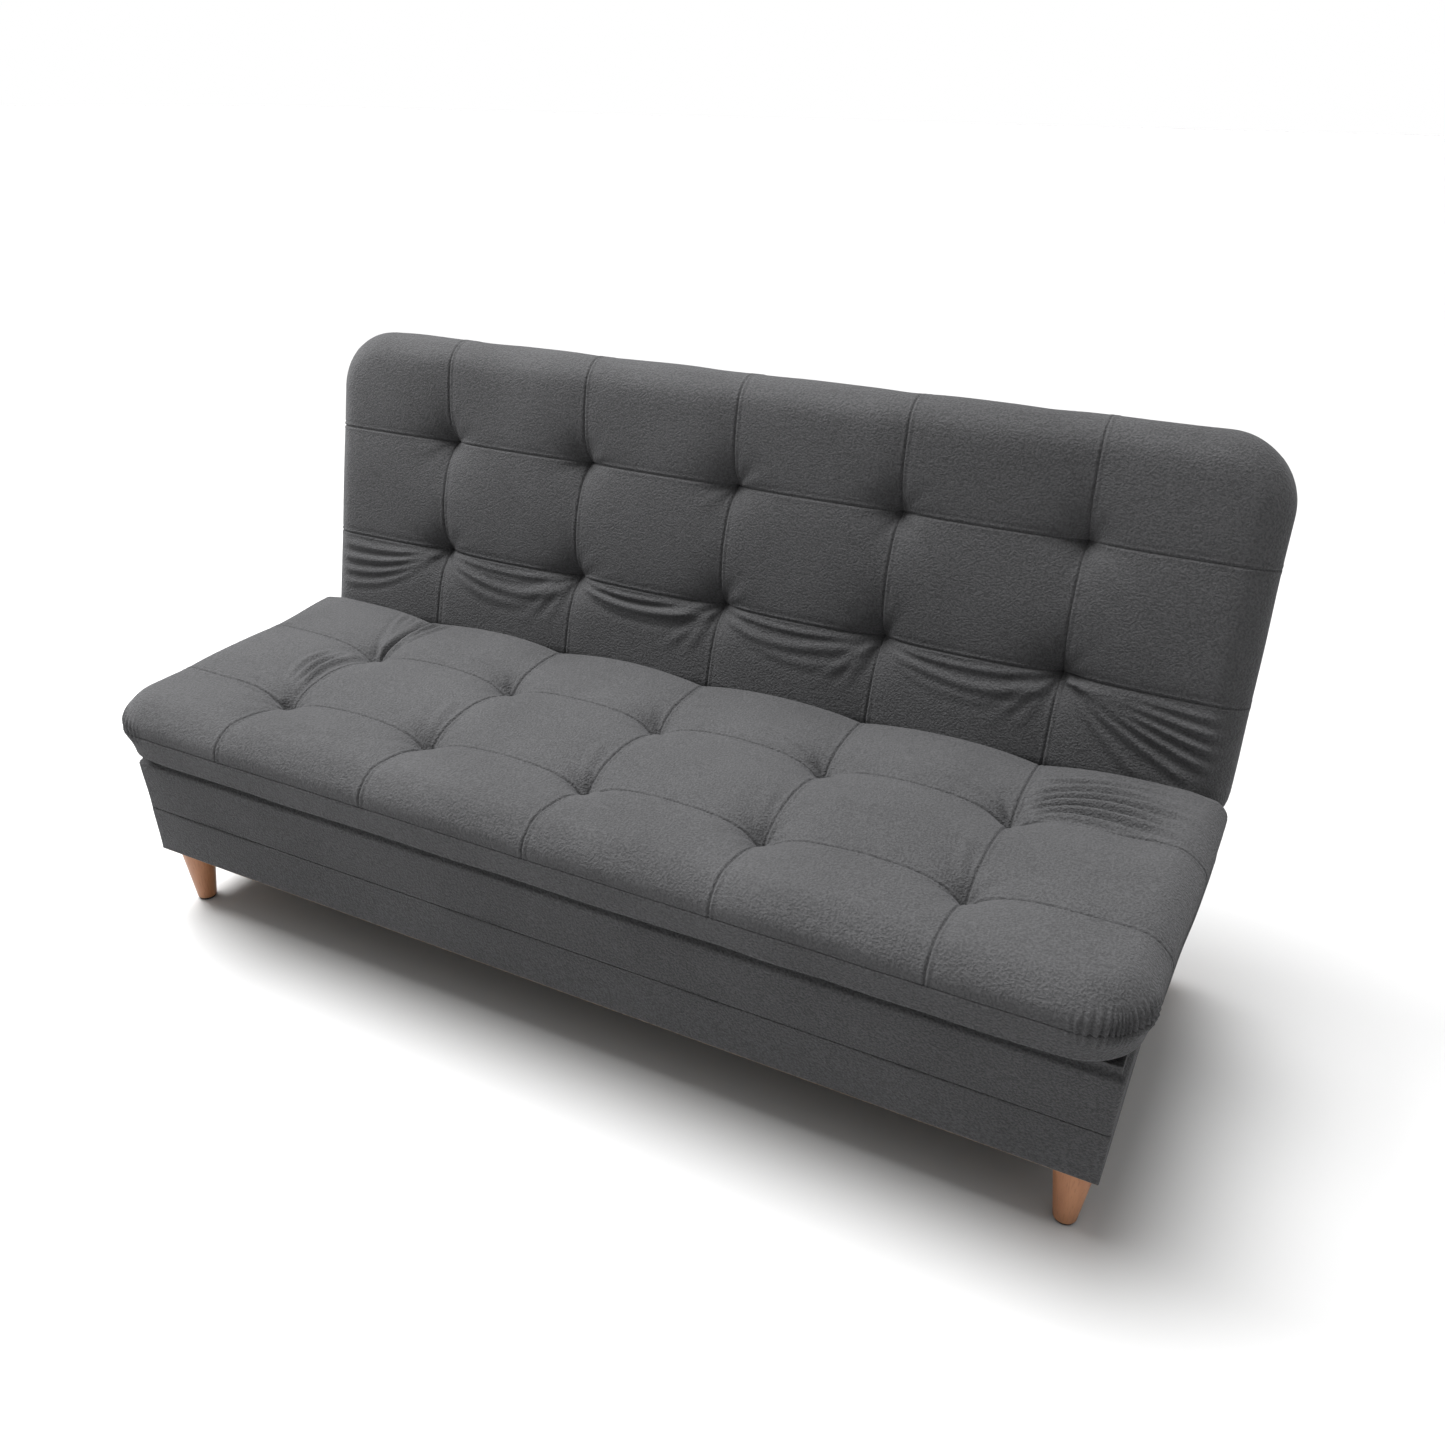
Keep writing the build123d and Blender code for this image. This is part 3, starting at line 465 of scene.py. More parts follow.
def seat_pad():
    pad = seat_grid()
    behind = SEAT_REAR - pad.pv
    seat_face(pad, behind)
    seat_wall(pad, behind)
    taper_seat(pad)
    # the underside: a rolled rim, then up into the hollow that holds the frame
    hollow = Outline(RAIL_HIGH.x + 0.0015, RAIL_LOW.y - 0.0015, SEAT_HIGH.y - 0.012, 0.030, 0.004)
    ring_u, ring_v = hollow.follow(*pad.rim_shares())
    for height in (0.0, 0.003, 0.0405):
        pad.add_ring(ring_u, ring_v, np.full_like(ring_u, height))
    pad.close()
    verts = np.stack([pad.u, pad.v, pad.w + SEAT_LOW.z], axis=1)
    return new_object("seat_upholstery", verts, pad.faces)


def seat_folds(u, v):
    """The larger folds round the seat's outer tufts and along its rear edge."""
    left = TUFT_X[0]
    right = TUFT_X[-1]
    front, rear = SEAT_ROWS
    total = np.zeros_like(u)
    # to the rear from the rear left tuft
    rearward = ((-0.066, 0.0044), (-0.042, 0.0056), (-0.020, 0.0056), (0.024, 0.0074), (0.050, 0.0044))
    for lean, height in rearward:
        total += stroke(u, v, (left + lean * 0.10, rear + 0.008), (left + lean * 0.5, 0.08),
                        (left + lean, 0.178), height, 0.0068, 0.08, 0.95)
    # beside the seam between the two left tufts
    for lean, height in ((-0.022, 0.0066), (-0.045, 0.0050), (-0.070, 0.0030)):
        total += stroke(u, v, (left - 0.008, front + 0.01), (left + lean * 2.0, (front + rear) / 2 + 0.03),
                        (left - 0.014, rear - 0.004), height, 0.0080, 0.30, 0.80)
    for rise, height in ((0.004, 0.0040), (0.036, 0.0044), (0.070, 0.0034)):
        total += stroke(u, v, (left - 0.012, front + 0.004), (left - 0.07, front + rise * 0.9),
                        (left - 0.17, front + rise), height, 0.0085, 0.10, 0.45)
    # to the right from the rear right tuft, and from the seam behind it
    fan = ((0.004, 0.036, 0.262, -0.004, 0.0060, 0.55), (0.010, 0.066, 0.268, 0.020, 0.0080, 0.70),
           (0.020, 0.094, 0.250, 0.050, 0.0084, 0.60), (0.036, 0.118, 0.268, 0.076, 0.0074, 0.75),
           (0.062, 0.142, 0.236, 0.112, 0.0058, 0.50), (0.100, 0.154, 0.262, 0.138, 0.0036, 0.65))
    for begin, middle, across, finish, height, fade_out in fan:
        total += stroke(u, v, (right + 0.004, rear + begin), (right + 0.11, rear + middle),
                        (right + across, rear + finish), height, 0.0072, 0.16, fade_out)
    for k in range(3):
        total += stroke(u, v, (right + 0.19 + 0.026 * k, 0.175), (right + 0.21 + 0.020 * k, 0.15),
                        (right + 0.268, 0.122 + 0.014 * k), 0.0034, 0.0060, 0.10, 0.60)
    for x, rise in ((right, 0.060), (right, 0.088), (TUFT_X[3], 0.060), (TUFT_X[1], 0.070)):
        total += stroke(u, v, (x - 0.012, rear + 0.010), (x - 0.06, rear + rise * 0.8),
                        (x - 0.16, rear + rise), 0.0038, 0.0085, 0.12, 0.50)
    for x in TUFT_X[1:]:
        total += stroke(u, v, (x - 0.008, front + 0.012), (x - 0.035, front + 0.07), (x - 0.03, front + 0.13),
                        0.0030, 0.0080, 0.10, 0.55)
    return total


def gathers(pad):
    """Small pleats where the cover is drawn round the front corners at the boxing seam."""
    into_u = np.abs(pad.pu) - (SEAT_REAR_HALF - 0.100)
    into_v = (SEAT_LOW.y + 0.100) - pad.pv
    at_corner = smoothstep(-0.02, 0.045, into_u) * smoothstep(-0.02, 0.045, into_v)
    along = np.where(into_u > into_v, 0.2 - into_v, into_u)
    wave = np.sin(2 * math.pi * along / PLEAT_PITCH + 1.7 * np.sin(along * 70))
    edge = np.minimum(SEAT_REAR_HALF - np.abs(pad.pu), pad.pv - SEAT_LOW.y)
    below = np.where(pad.on_face, -edge, pad.depth)
    band = smoothstep(-0.004, BOXING_SEAM - 0.006, below) * smoothstep(0.072, BOXING_SEAM + 0.004, below)
    return PLEAT_HEIGHT * wave * at_corner * band


# Back, drawn in its own frame: u along the width, v up the back, w forwards

def back_to_world(u, v, w):
    """From the back's own frame, where w is 0 at the pivot and grows forwards."""
    y = PIVOT.y + v * math.sin(RAKE) - w * math.cos(RAKE)
    z = PIVOT.z + v * math.cos(RAKE) + w * math.sin(RAKE)
    return np.stack([u, y, z], axis=1)


BACK_LEVELS = (0.006, 0.013, 0.020, 0.028, 0.036, 0.044, 0.050, 0.056, 0.063, 0.070, 0.078, 0.085, 0.091,
               0.096, 0.101, 0.105, 0.108, 0.110)
# the rings of the back's rear: how far in each lies, and how far forward
BACK_RINGS = ((0.030, 0.0), (0.055, 0.0), (0.058, 0.0), (0.059, 0.0018), (0.060, 0.020))


def back_grid():
    """The back at rest, with closer lines at the hinge slots and under its lower row of tufts."""
    inner = HINGE_SLOT[0] - 0.008
    outer = HINGE_SLOT[1] + 0.008
    u_lines = stations(-BACK_HALF, BACK_HALF, GRID_STEP, TUFT_X, ((-outer, -inner), (inner, outer)))
    v_lines = stations(BACK_FOOT, BACK_TOP, GRID_STEP, BACK_ROWS, ((0.02, BACK_ROWS[0] - 0.012),))
    return Pad(u_lines, v_lines, BACK_FRONT + BACK_REAR, 0.040, 0.115, 0.052, 0.024, BACK_LEVELS)


def back_face(pad):
    """Tufts, draped folds and seams, then a slight unevenness on the wall."""
    u = pad.pu
    v = pad.pv
    side = np.minimum(BACK_HALF - np.abs(u), BACK_TOP - v)
    relief = tufting(u, v, BACK_ROWS, 0.008, 0.028, 0.030)
    relief += pinch(u, v, BACK_ROWS, 11)
    relief += swags(u, v, BACK_ROWS[0], 21)
    relief += 0.0014 * drift(u, v, 15, 0.28)
    relief += back_folds(u, v)
    inner = 0.15 + 0.85 * smoothstep(0, 0.075, side)
    fade = np.where(pad.on_face, 1.0, smoothstep(0.050, 0.010, pad.depth)) * inner
    seams = (seam_groove(near(u, TUFT_X), 1) + seam_groove(near(v, BACK_ROWS), 1)) * (pad.depth < 0.08)
    pad.push(relief * fade + seams * 0.8)
    pad.push(np.where(pad.on_face, 0, 0.0009 * drift(u + pad.depth, v, 18, 0.14)))


def cut_hinge_slots(pad, w):
    """Slots in the foot, behind the pivot, leave room for the hinge plates when the back lies flat."""
    across = np.abs(pad.u)
    slot = smoothstep(HINGE_SLOT[0] - 0.005, HINGE_SLOT[0], across)
    slot = slot * smoothstep(HINGE_SLOT[1] + 0.005, HINGE_SLOT[1], across)
    slot *= smoothstep(-0.004, -0.014, w)
    pad.v += slot * np.clip(HINGE_SLOT_TOP - pad.v, 0, None)


def back_pad():
    pad = back_grid()
    back_face(pad)
    for inset, height in BACK_RINGS:
        ring = Outline(HALF_WIDTH - inset, BACK_FOOT + inset * 0.6, BACK_TOP - inset * 0.45, 0.06, 0.105)
        ring_u, ring_v = ring.follow(*pad.rim_shares())
        pad.add_ring(ring_u, ring_v, np.full_like(ring_u, height))
    pad.close()
    w = pad.w - BACK_REAR
    cut_hinge_slots(pad, w)
    verts = back_to_world(pad.u, pad.v, w)
    return new_object("back_upholstery", verts, pad.faces)


def back_folds(u, v):
    """Long folds from the outermost lower tufts to the ends of the back."""
    left = TUFT_X[0]
    right = TUFT_X[-1]
    row = BACK_ROWS[0]
    total = np.zeros_like(u)
    ends = ((0.278, -0.024), (0.282, -0.050), (0.282, -0.078), (0.276, -0.106), (0.236, -0.128),
            (0.160, -0.140))
    for (across, down), height in zip(ends, (0.0034, 0.0060, 0.0066, 0.0058, 0.0044, 0.0030)):
        bend = (right + across * 0.45, row + down * 0.55)
        start = (right + 0.010, row - 0.006)
        total += stroke(u, v, start, bend, (right + across, row + down), height, 0.0066, 0.06, 0.85)
    for k, height in enumerate((0.0026, 0.0036, 0.0028, 0.0018)):
        end = (left - 0.270, row - 0.020 - 0.026 * k)
        bend = (left - 0.12, row - 0.030 - 0.028 * k)
        total += stroke(u, v, (left - 0.010, row - 0.005), bend, end, height, 0.0068, 0.08, 0.85)
    return total


# Base

def band_plan():
    """The bands' outline in plan, anticlockwise, with even steps along its sides."""
    half_x = BAND_HIGH.x
    y0 = BAND_LOW.y
    y1 = BAND_HIGH.y
    outline = []
    for cx, cy, start in ((half_x, y0, -90), (half_x, y1, 0), (-half_x, y1, 90), (-half_x, y0, 180)):
        ax = cx - math.copysign(BAND_CORNER, cx)
        ay = cy + BAND_CORNER if cy == y0 else cy - BAND_CORNER
        for step in range(7):
            angle = math.radians(start + step * 15)
            outline.append((ax + BAND_CORNER * math.cos(angle), ay + BAND_CORNER * math.sin(angle)))
    dense = []
    for a, b in zip(outline, outline[1:] + outline[:1]):
        gap = math.hypot(b[0] - a[0], b[1] - a[1])
        count = max(1, round(gap / 0.014))
        dense += [(a[0] + (b[0] - a[0]) * k / count, a[1] + (b[1] - a[1]) * k / count) for k in range(count)]
    return np.array(dense)


def band_profile(low, high, fold_top, fold_under, turn_top, turn_under):
    """A band's section from its upper fold to its lower one, as steps outwards and heights."""
    turns = [math.radians(a) for a in (0, 22, 45, 67, 90)]
    profile = [(-fold_top, high - 0.0004)]
    for a in turns:
        profile.append((-turn_top * (1 - math.sin(a)), high - turn_top * (1 - math.cos(a))))
    levels = round((high - low) / 0.004)
    straight = high - low - turn_top - turn_under
    profile += [(0, high - turn_top - straight * k / levels) for k in range(1, levels)]
    for a in turns:
        profile.append((-turn_under * (1 - math.cos(a)), low + turn_under * (1 - math.sin(a))))
    profile.append((-fold_under, low + 0.0004))
    return profile


def base_band(name, low, high, fold_top, fold_under, seed, turn_top, turn_under, swell, shoulder):
    """A fabric band round the base, with soft corners and its upper and lower edges turned in."""
    plan = band_plan()
    ahead = np.roll(plan, -1, axis=0) - np.roll(plan, 1, axis=0)
    ahead /= np.linalg.norm(ahead, axis=1, keepdims=True)
    out = np.stack([ahead[:, 1], -ahead[:, 0]], axis=1)
    rings = []
    run = np.cumsum(np.linalg.norm(np.roll(plan, -1, axis=0) - plan, axis=1))
    for shift, z in band_profile(low, high, fold_top, fold_under, turn_top, turn_under):
        padded = swell[0] + (swell[1] - swell[0]) * smoothstep(low, high, z)
        padded *= smoothstep(high - shoulder, high - shoulder - 0.008, z) if shoulder else 1
        wave = 0.0006 * drift(run, np.full_like(run, z), seed, 0.22) * (abs(shift) < 1e-9)
        ring = plan + out * (shift + padded * (shift > -0.005) + wave)[:, None]
        rings.append(np.column_stack([ring, np.full(len(plan), z)]))
    inside = plan + out * -BAND_THICKNESS
    rings.append(np.column_stack([inside, np.full(len(plan), low + 0.002)]))
    rings.append(np.column_stack([inside, np.full(len(plan), high - 0.002)]))
    count = len(plan)
    faces = []
    for a in range(len(rings)):
        b = (a + 1) % len(rings)
        for k in range(count):
            n = (k + 1) % count
            faces.append((a * count + k, a * count + n, b * count + n, b * count + k))
    return new_object(name, np.concatenate(rings), faces)


# Linings

def lining(name, outline, place, seed):
    """A sheet of lining pulled tight over a frame: hems at its edges, slight creases between the staples."""
    across = np.linspace(-1, 1, 181)
    along = np.linspace(0, 1, 61)
    share_u, share_v = [grid.ravel() for grid in np.meshgrid(across, along)]
    u, v = outline.follow(share_u, share_v)
    edge = np.minimum(outline.half - np.abs(u), np.minimum(v - outline.low, outline.high - v))
    hem = 0.0007 * smoothstep(0.0175, 0.0145, edge)
    pulls = 0.0003 * (1 + np.sin(2 * math.pi * u / STAPLE_PITCH))
    pulls = pulls * np.exp(-edge / 0.035) * smoothstep(0, 0.01, edge)
    sag = 0.0005 * (1.6 + drift(u, v, seed, 0.35)) * smoothstep(0, 0.06, edge)
    columns = len(across)
    faces = []
    for row in range(len(along) - 1):
        for column in range(columns - 1):
            k = row * columns + column
            faces.append((k, k + 1, k + columns + 1, k + columns))
    return new_object(name, place(u, v, hem + pulls + sag), faces)


def staples(name, outline, place):
    """Wire staples along the hems, each a short crown with rounded ends."""
    inset = 0.008
    half = outline.half - inset
    low = outline.low + inset
    high = outline.high - inset
    across = np.arange(-half + 0.10, half - 0.09, STAPLE_PITCH)
    along = np.arange(low + 0.11, high - 0.10, STAPLE_PITCH)
    spots = [(u, v, 1, 0) for v in (low, high) for u in across]
    spots += [(u, v, 0, 1) for u in (-half, half) for v in along]
    verts = []
    faces = []
    sides = 8
    shape = ((-0.0052, 0.0002), (-0.0048, 0.0005), (0.0048, 0.0005), (0.0052, 0.0002))
    for u, v, du, dv in spots:
        first = sum(len(part) for part in verts)
        for run, radius in shape:
            turn = np.arange(sides) * 2 * math.pi / sides
            off = radius * np.cos(turn)
            up = 0.0009 + radius * np.sin(turn)
            verts.append(place(u + du * run + dv * off, v + dv * run + du * off, up))
        for ring in range(len(shape) - 1):
            for k in range(sides):
                a = first + ring * sides + k
                b = first + ring * sides + (k + 1) % sides
                faces.append((a, b, b + sides, a + sides))
        last = first + (len(shape) - 1) * sides
        faces.append(tuple(range(first, first + sides))[::-1])
        faces.append(tuple(range(last, last + sides)))
    return new_object(name, np.concatenate(verts), faces)


def add_lining(name, node, body, outline, place, seed):
    cloth = dress(lining(name, outline, place, seed), "lining", body, node)
    wires = dress(staples(name + "_staples", outline, place), "zinc_steel", body)


# Materials

def material(name, roughness, metallic=0.0, sheen=0.0, specular=0.5):
    mat = bpy.data.materials.new(name)
    mat.use_nodes = True
    shader = mat.node_tree.nodes["Principled BSDF"]
    shader.inputs["Roughness"].default_value = roughness
    shader.inputs["Metallic"].default_value = metallic
    shader.inputs["Specular IOR Level"].default_value = specular
    if sheen:
        shader.inputs["Sheen Weight"].default_value = sheen
        shader.inputs["Sheen Roughness"].default_value = 0.45
        shader.inputs["Sheen Tint"].default_value = (0.75, 0.75, 0.78, 1)
    return mat, shader


class Nodes:
    """Short names for the nodes of one material."""

    def __init__(self, mat):
        self.tree = mat.node_tree
        self.coords = self.tree.nodes.new("ShaderNodeTexCoord").outputs["Object"]

    def link(self, a, b):
        self.tree.links.new(a, b)

    def stretched(self, scale):
        node = self.tree.nodes.new("ShaderNodeMapping")
        node.inputs["Scale"].default_value = scale
        self.link(self.coords, node.inputs["Vector"])
        return node.outputs["Vector"]

    def noise(self, scale, detail=2.0, rough=0.5, vector=None):
        node = self.tree.nodes.new("ShaderNodeTexNoise")
        node.inputs["Scale"].default_value = scale
        node.inputs["Detail"].default_value = detail
        node.inputs["Roughness"].default_value = rough
        self.link(vector or self.coords, node.inputs["Vector"])
        return node.outputs["Fac"]

    def ramp(self, source, stops):
        node = self.tree.nodes.new("ShaderNodeValToRGB")
        ramp = node.color_ramp
        while len(ramp.elements) < len(stops):
            ramp.elements.new(0.5)
        for element, (place, colour) in zip(ramp.elements, stops):
            element.position = place
            element.color = (*colour, 1)
        self.link(source, node.inputs["Fac"])
        return node.outputs["Color"]

    def math(self, kind, a, b):
        node = self.tree.nodes.new("ShaderNodeMath")
        node.operation = kind
        for socket, value in zip(node.inputs, (a, b)):
            if isinstance(value, (int, float)):
                socket.default_value = value
            else:
                self.link(value, socket)
        return node.outputs["Value"]

    def mix(self, factor, a, b, kind="MIX"):
        node = self.tree.nodes.new("ShaderNodeMix")
        node.data_type = "RGBA"
        node.blend_type = kind
        for socket, value in ((node.inputs["Factor"], factor), (node.inputs["A"], a), (node.inputs["B"], b)):
            if isinstance(value, (int, float)):
                socket.default_value = value
            elif isinstance(value, tuple):
                socket.default_value = (*value, 1)
            else:
                self.link(value, socket)
        return node.outputs["Result"]

    def bump(self, height, distance, strength=1.0, normal=None):
        node = self.tree.nodes.new("ShaderNodeBump")
        node.inputs["Distance"].default_value = distance
        node.inputs["Strength"].default_value = strength
        self.link(height, node.inputs["Height"])
        if normal is not None:
            self.link(normal, node.inputs["Normal"])
        return node.outputs["Normal"]

    def grey(self, source, low, high):
        node = self.tree.nodes.new("ShaderNodeMapRange")
        node.inputs["To Min"].default_value = low
        node.inputs["To Max"].default_value = high
        self.link(source, node.inputs["Value"])
        return node.outputs["Result"]


def suede(name, shade):
    """Dark grey suede-like microfibre: a leathery grain, a fine nap and brushed patches."""
    mat, shader = material(name, 0.9, sheen=0.12, specular=0.18)
    n = Nodes(mat)
    patches = n.noise(5.0, 3.0, 0.55)
    mottle = n.noise(290.0, 2.0, 0.55)
    nap = n.noise(1400.0, 2.0, 0.6)
    dark = tuple(shade * c * 0.64 for c in (1.0, 1.0, 1.03))
    light = tuple(shade * c * 1.39 for c in (1.0, 1.0, 1.03))
    colour = n.ramp(mottle, ((0.37, dark), (0.63, light)))
    colour = n.mix(0.30, colour, n.ramp(patches, ((0.35, dark), (0.65, light))))
    colour = n.mix(0.20, colour, n.ramp(nap, ((0.3, dark), (0.7, light))))
    n.link(colour, shader.inputs["Base Color"])
    n.link(n.grey(patches, 0.80, 0.96), shader.inputs["Roughness"])
    grain = n.bump(mottle, 0.0028, 1.0)
    n.link(n.bump(nap, 0.0004, 0.6, grain), shader.inputs["Normal"])
    return mat


def woven(name, colour, pitch):
    """Plain woven cloth, for the lining and the webbing."""
    mat, shader = material(name, 0.85, specular=0.2)
    n = Nodes(mat)
    waves = []
    for direction in ("X", "Z"):
        node = n.tree.nodes.new("ShaderNodeTexWave")
        node.bands_direction = direction
        node.inputs["Scale"].default_value = 0.31 / pitch
        node.inputs["Distortion"].default_value = 0.4
        n.link(n.coords, node.inputs["Vector"])
        waves.append(node.outputs["Fac"])
    weave = n.math("MULTIPLY", waves[0], waves[1])
    shaded = tuple(c * 0.55 for c in colour)
    n.link(n.ramp(weave, ((0.1, shaded), (0.9, colour))), shader.inputs["Base Color"])
    n.link(n.bump(weave, 0.0004, 0.6), shader.inputs["Normal"])
    return mat


def timber(name, pale, dark, roughness, along, coat=0.0, scale=1.0):
    """Wood with its grain stretched along one axis."""
    mat, shader = material(name, roughness, specular=0.4)
    n = Nodes(mat)
    stretch = [22.0 * scale] * 3
    stretch["XYZ".index(along)] = 1.6 * scale
    figure = n.noise(1.6, 5.0, 0.6, n.stretched(stretch))
    fine_stretch = [420.0] * 3
    fine_stretch["XYZ".index(along)] = 14.0
    pores = n.noise(1.0, 2.0, 0.5, n.stretched(fine_stretch))
    between = tuple((a + b) / 2 for a, b in zip(pale, dark))
    colour = n.ramp(figure, ((0.25, dark), (0.5, between), (0.75, pale)))
    pore_mask = n.ramp(pores, ((0.28, (0.62, 0.62, 0.62)), (0.45, (1, 1, 1))))
    n.link(n.mix(0.55, colour, pore_mask, "MULTIPLY"), shader.inputs["Base Color"])
    n.link(n.grey(figure, roughness - 0.08, roughness + 0.1), shader.inputs["Roughness"])
    n.link(n.bump(pores, 0.0002, 0.35), shader.inputs["Normal"])
    shader.inputs["Coat Weight"].default_value = coat
    shader.inputs["Coat Roughness"].default_value = 0.25
    return mat


def metal(name, colour, roughness, metallic, wear):
    mat, shader = material(name, roughness, metallic)
    n = Nodes(mat)
    patch = n.noise(60.0, 4.0, 0.65)
    shaded = tuple(c * 0.8 for c in colour)
    n.link(n.ramp(patch, ((0.3, shaded), (0.7, colour))), shader.inputs["Base Color"])
    n.link(n.grey(patch, roughness - wear, roughness + wear), shader.inputs["Roughness"])
    n.link(n.bump(n.noise(900.0, 2.0), 0.0001, 0.4), shader.inputs["Normal"])
    return mat


def moulded(name, colour, roughness):
    mat, shader = material(name, roughness, specular=0.4)
    n = Nodes(mat)
    patch = n.noise(300.0, 3.0, 0.6)
    shaded = tuple(c * 0.75 for c in colour)
    n.link(n.ramp(patch, ((0.3, shaded), (0.7, colour))), shader.inputs["Base Color"])
    n.link(n.bump(patch, 0.0002, 0.4), shader.inputs["Normal"])
    return mat


MATERIALS = {
    "upholstery": suede("suede_grey", 0.063),
    "lining": woven("lining_black", (0.030, 0.030, 0.032), 0.0012),
    "webbing": woven("webbing_brown", (0.20, 0.15, 0.10), 0.0025),
    "leg_wood": timber("beech", (0.50, 0.235, 0.115), (0.36, 0.150, 0.068), 0.42, "Z", coat=0.15, scale=1.6),
    "frame_wood": timber("pine", (0.55, 0.38, 0.22), (0.40, 0.24, 0.12), 0.7, "X"),
    # Under the base: real dark hardboard, made near-black as painted shade for the deep shadow beneath the
    # base
    "floor_board": moulded("hardboard_and_painted_shade", (0.035, 0.032, 0.029), 0.7),
    "glide_plastic": moulded("glide_black", (0.03, 0.03, 0.03), 0.5),
    "rubber": moulded("rubber_black", (0.025, 0.025, 0.025), 0.8),
    "painted_steel": metal("steel_black", (0.03, 0.03, 0.032), 0.45, 0.0, 0.1),
    "zinc_steel": metal("steel_zinc", (0.55, 0.55, 0.53), 0.35, 1.0, 0.12),
    "bush_bronze": metal("bronze", (0.45, 0.30, 0.14), 0.4, 1.0, 0.1),
    "anchor_plastic": moulded("anchor_grey", (0.07, 0.07, 0.07), 0.5),
}


def finish_nodes():
    """Every CAD node takes the material of its slot."""
    for part in frame["record"]["subparts"]:
        node = frame["nodes"][part["node"]]
        mat = MATERIALS[part["material_slot"]]
        if node.material_slots:
            for place in node.material_slots:
                place.material = mat
        else:
            node.data.materials.append(mat)


def dress(obj, slot_name, body, *nodes):
    """Gives a new piece the material of its slot and its body, and hides the CAD nodes that it stands for."""
    obj.data.materials.append(MATERIALS[slot_name])
    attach(obj, body)
    if nodes:
        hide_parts(*nodes)
    return obj


# Stage

def stage():
    size = 80.0
    corners = [(-size, -size, 0), (size, -size, 0), (size, size, 0), (-size, size, 0)]
    mesh = bpy.data.meshes.new("floor")
    mesh.from_pydata(corners, [], [(0, 1, 2, 3)])
    floor = bpy.data.objects.new("floor", mesh)
    bpy.context.scene.collection.objects.link(floor)
    mat, shader = material("floor_white", 0.9, specular=0.1)
    n = Nodes(mat)
    clouds = n.ramp(n.noise(0.4, 2.0), ((0.3, (0.60, 0.60, 0.60)), (0.7, (0.62, 0.62, 0.62))))
    n.link(clouds, shader.inputs["Base Color"])
    mesh.materials.append(mat)


def aim(light, place, target):
    """Adds a light's object at a place, turned towards a target."""
    obj = bpy.data.objects.new(light.name, light)
    obj.location = place
    obj.rotation_euler = (target - place).to_track_quat("-Z", "Y").to_euler()
    bpy.context.scene.collection.objects.link(obj)


def lights():
    sun = bpy.data.lights.new("soft_sun", "SUN")
    sun.energy = 4.1
    sun.angle = math.radians(40)
    aim(sun, Vector((-0.30, 0.08, 1.0)), Vector((0, 0, 0)))
    key = bpy.data.lights.new("key_panel", "AREA")
    key.energy = 95
    key.shape = "SQUARE"
    key.size = 1.3
    aim(key, Vector((-1.9, -0.2, 3.0)), Vector((-0.1, 0, 0.4)))


# brightness of the surroundings by height: 0 is level with the horizon and 1 is straight up
STUDIO = ((0.0, 1.0), (0.07, 1.0), (0.12, 0.10), (0.55, 0.20), (1.0, 0.9))


def studio():
    """A studio: bright overhead, a white band at the horizon, dimmer walls between them."""
    world = bpy.data.worlds.new("studio")
    world.use_nodes = True
    tree = world.node_tree
    split = tree.nodes.new("ShaderNodeSeparateXYZ")
    tree.links.new(tree.nodes.new("ShaderNodeTexCoord").outputs["Generated"], split.inputs["Vector"])
    ramp = tree.nodes.new("ShaderNodeValToRGB")
    tree.links.new(split.outputs["Z"], ramp.inputs["Fac"])
    while len(ramp.color_ramp.elements) < len(STUDIO):
        ramp.color_ramp.elements.new(0.5)
    for element, (place, level) in zip(ramp.color_ramp.elements, STUDIO):
        element.position = place
        element.color = (level, level, level, 1)
    tree.links.new(ramp.outputs["Color"], tree.nodes["Background"].inputs["Color"])
    bpy.context.scene.world = world
    bpy.context.scene.view_settings.view_transform = "Standard"


CAMERA_PLACE = (0.936, -1.632, 1.392)
CAMERA_AZIMUTH = math.radians(26.49)
CAMERA_PITCH = math.radians(26.93)
CAMERA_ROLL = math.radians(0.98)
SENSOR_WIDTH = 36
FOCAL_LENGTH = 30.84


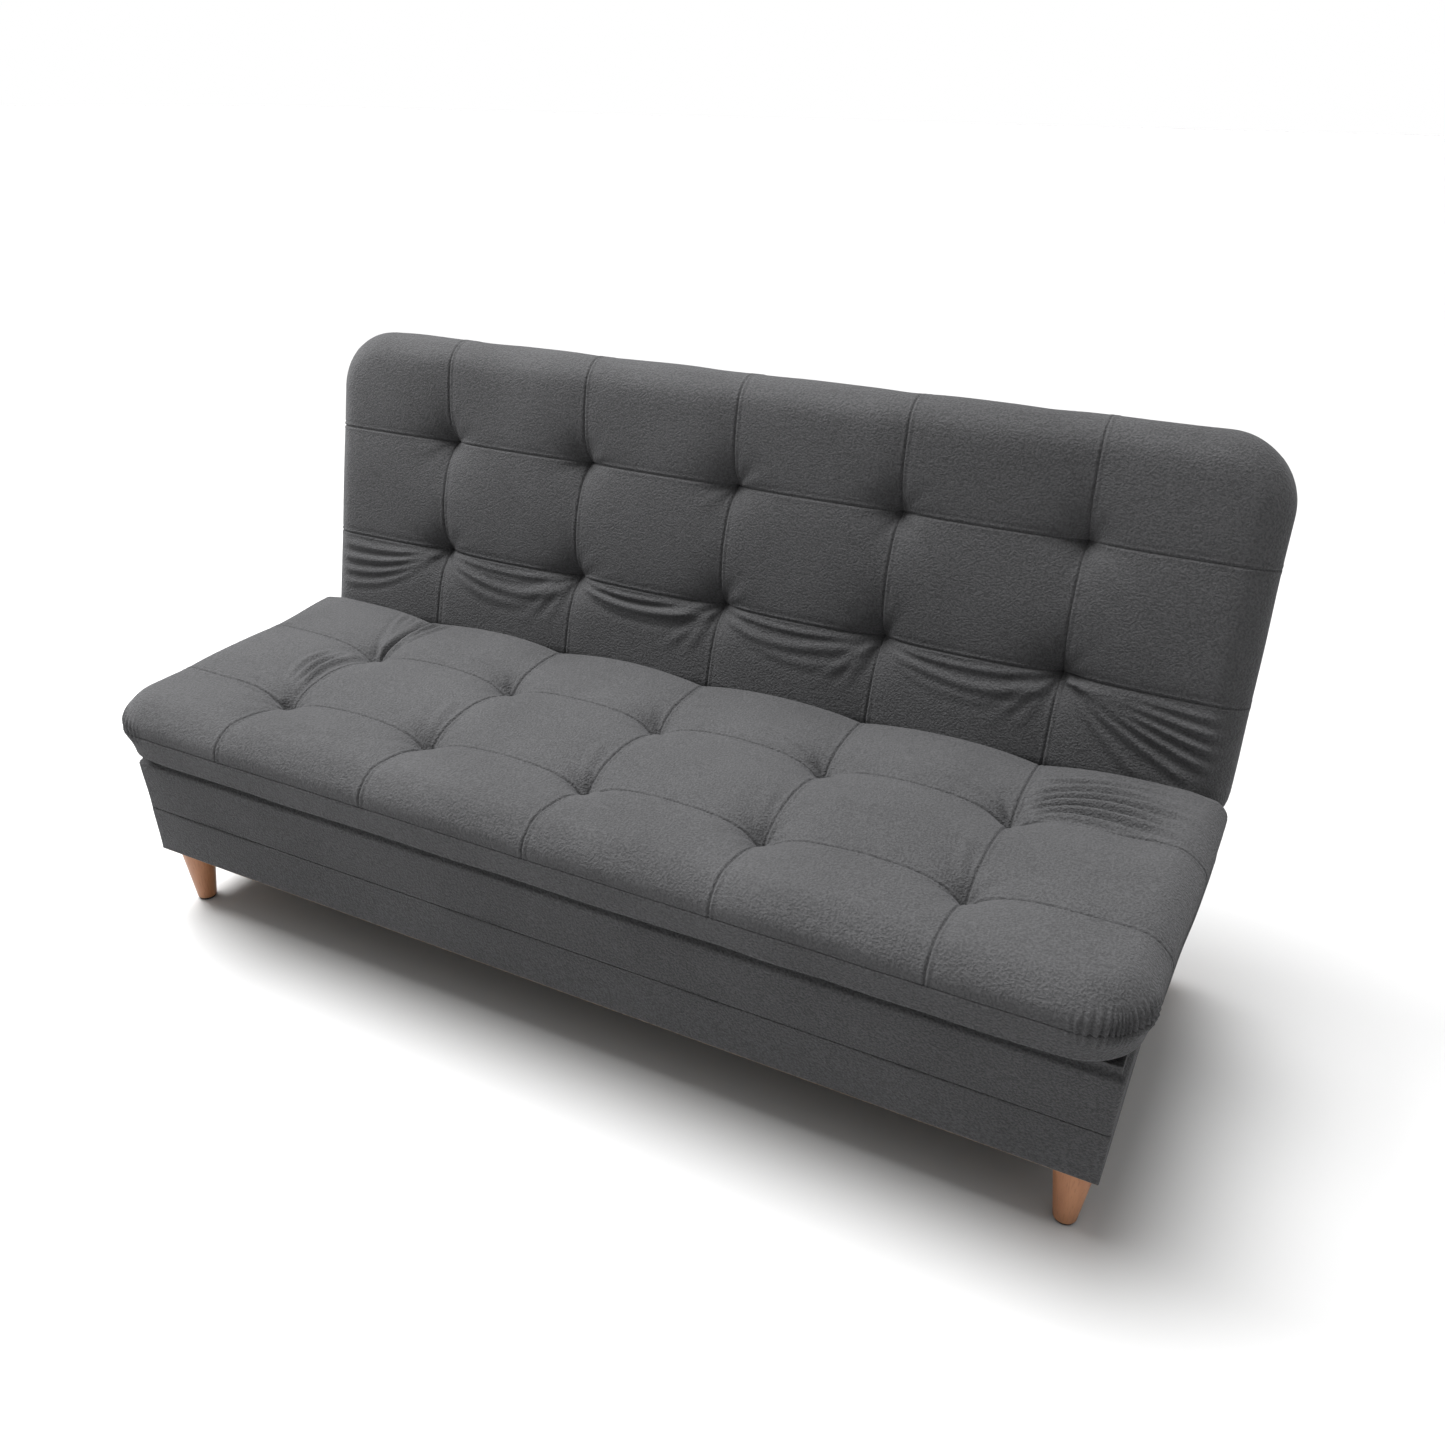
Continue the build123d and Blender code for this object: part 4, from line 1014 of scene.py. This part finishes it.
def camera():
    azimuth = CAMERA_AZIMUTH
    pitch = CAMERA_PITCH
    roll = CAMERA_ROLL
    level = math.cos(pitch)
    ahead = Vector((-math.sin(azimuth) * level, math.cos(azimuth) * level, -math.sin(pitch)))
    right = Vector((math.cos(azimuth), math.sin(azimuth), 0))
    up = right.cross(ahead)
    x_axis = right * math.cos(roll) + up * math.sin(roll)
    y_axis = up * math.cos(roll) - right * math.sin(roll)
    data = bpy.data.cameras.new("camera")
    data.sensor_width = SENSOR_WIDTH
    data.lens = FOCAL_LENGTH
    obj = bpy.data.objects.new("camera", data)
    turn = Matrix((x_axis, y_axis, -ahead)).transposed()
    obj.matrix_world = Matrix.Translation(Vector(CAMERA_PLACE)) @ turn.to_4x4()
    bpy.context.scene.collection.objects.link(obj)
    bpy.context.scene.camera = obj


finish_nodes()
stage()
lights()
studio()
camera()

seat = dress(seat_pad(), "upholstery", "seat", "seat_cushion")
back = dress(back_pad(), "upholstery", "back", "back_cushion")
middle = (FOOT_HIGH.z + BAND_LOW.z) / 2
upper = base_band("base_band_upper", middle + BAND_SEAM_HALF, BAND_HIGH.z + BAND_RISE, fold_top=0.018,
                  fold_under=BAND_THICKNESS, seed=31, turn_top=0.0015, turn_under=0.0022,
                  swell=(0.0024, 0.008), shoulder=0.012)
dress(upper, "upholstery", "base", "base_upper_cover")
lower = base_band("base_band_lower", FOOT_LOW.z, middle - BAND_SEAM_HALF, fold_top=BAND_THICKNESS,
                  fold_under=0.016, seed=37, turn_top=0.0016, turn_under=0.003,
                  swell=(0.0, 0.0024), shoulder=0)
dress(lower, "upholstery", "base", "base_lower_cover")

cover_low, cover_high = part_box("back_rear_cover")
cover_foot = (cover_low.z - PIVOT.z + (BACK_REAR - 0.0002) * math.sin(RAKE)) / math.cos(RAKE)
cover_top = (cover_high.z - PIVOT.z + REAR_COVER_FACE * math.sin(RAKE)) / math.cos(RAKE)
cover_outline = Outline(cover_high.x, cover_foot, cover_top, 0.004, 0.06)
dust_low, dust_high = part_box("seat_dust_cover")
dust_outline = Outline(dust_high.x, dust_low.y, dust_high.y, 0.030, 0.004)


def on_rear_cover(u, v, w):
    return back_to_world(u, v, -REAR_COVER_FACE - LINING_GAP - w)


def on_dust_cover(u, v, w):
    return np.stack([u, v, dust_high.z - LINING_GAP - w], axis=1)


add_lining("back_lining", "back_rear_cover", "back", cover_outline, on_rear_cover, 41)
add_lining("seat_lining", "seat_dust_cover", "seat", dust_outline, on_dust_cover, 43)
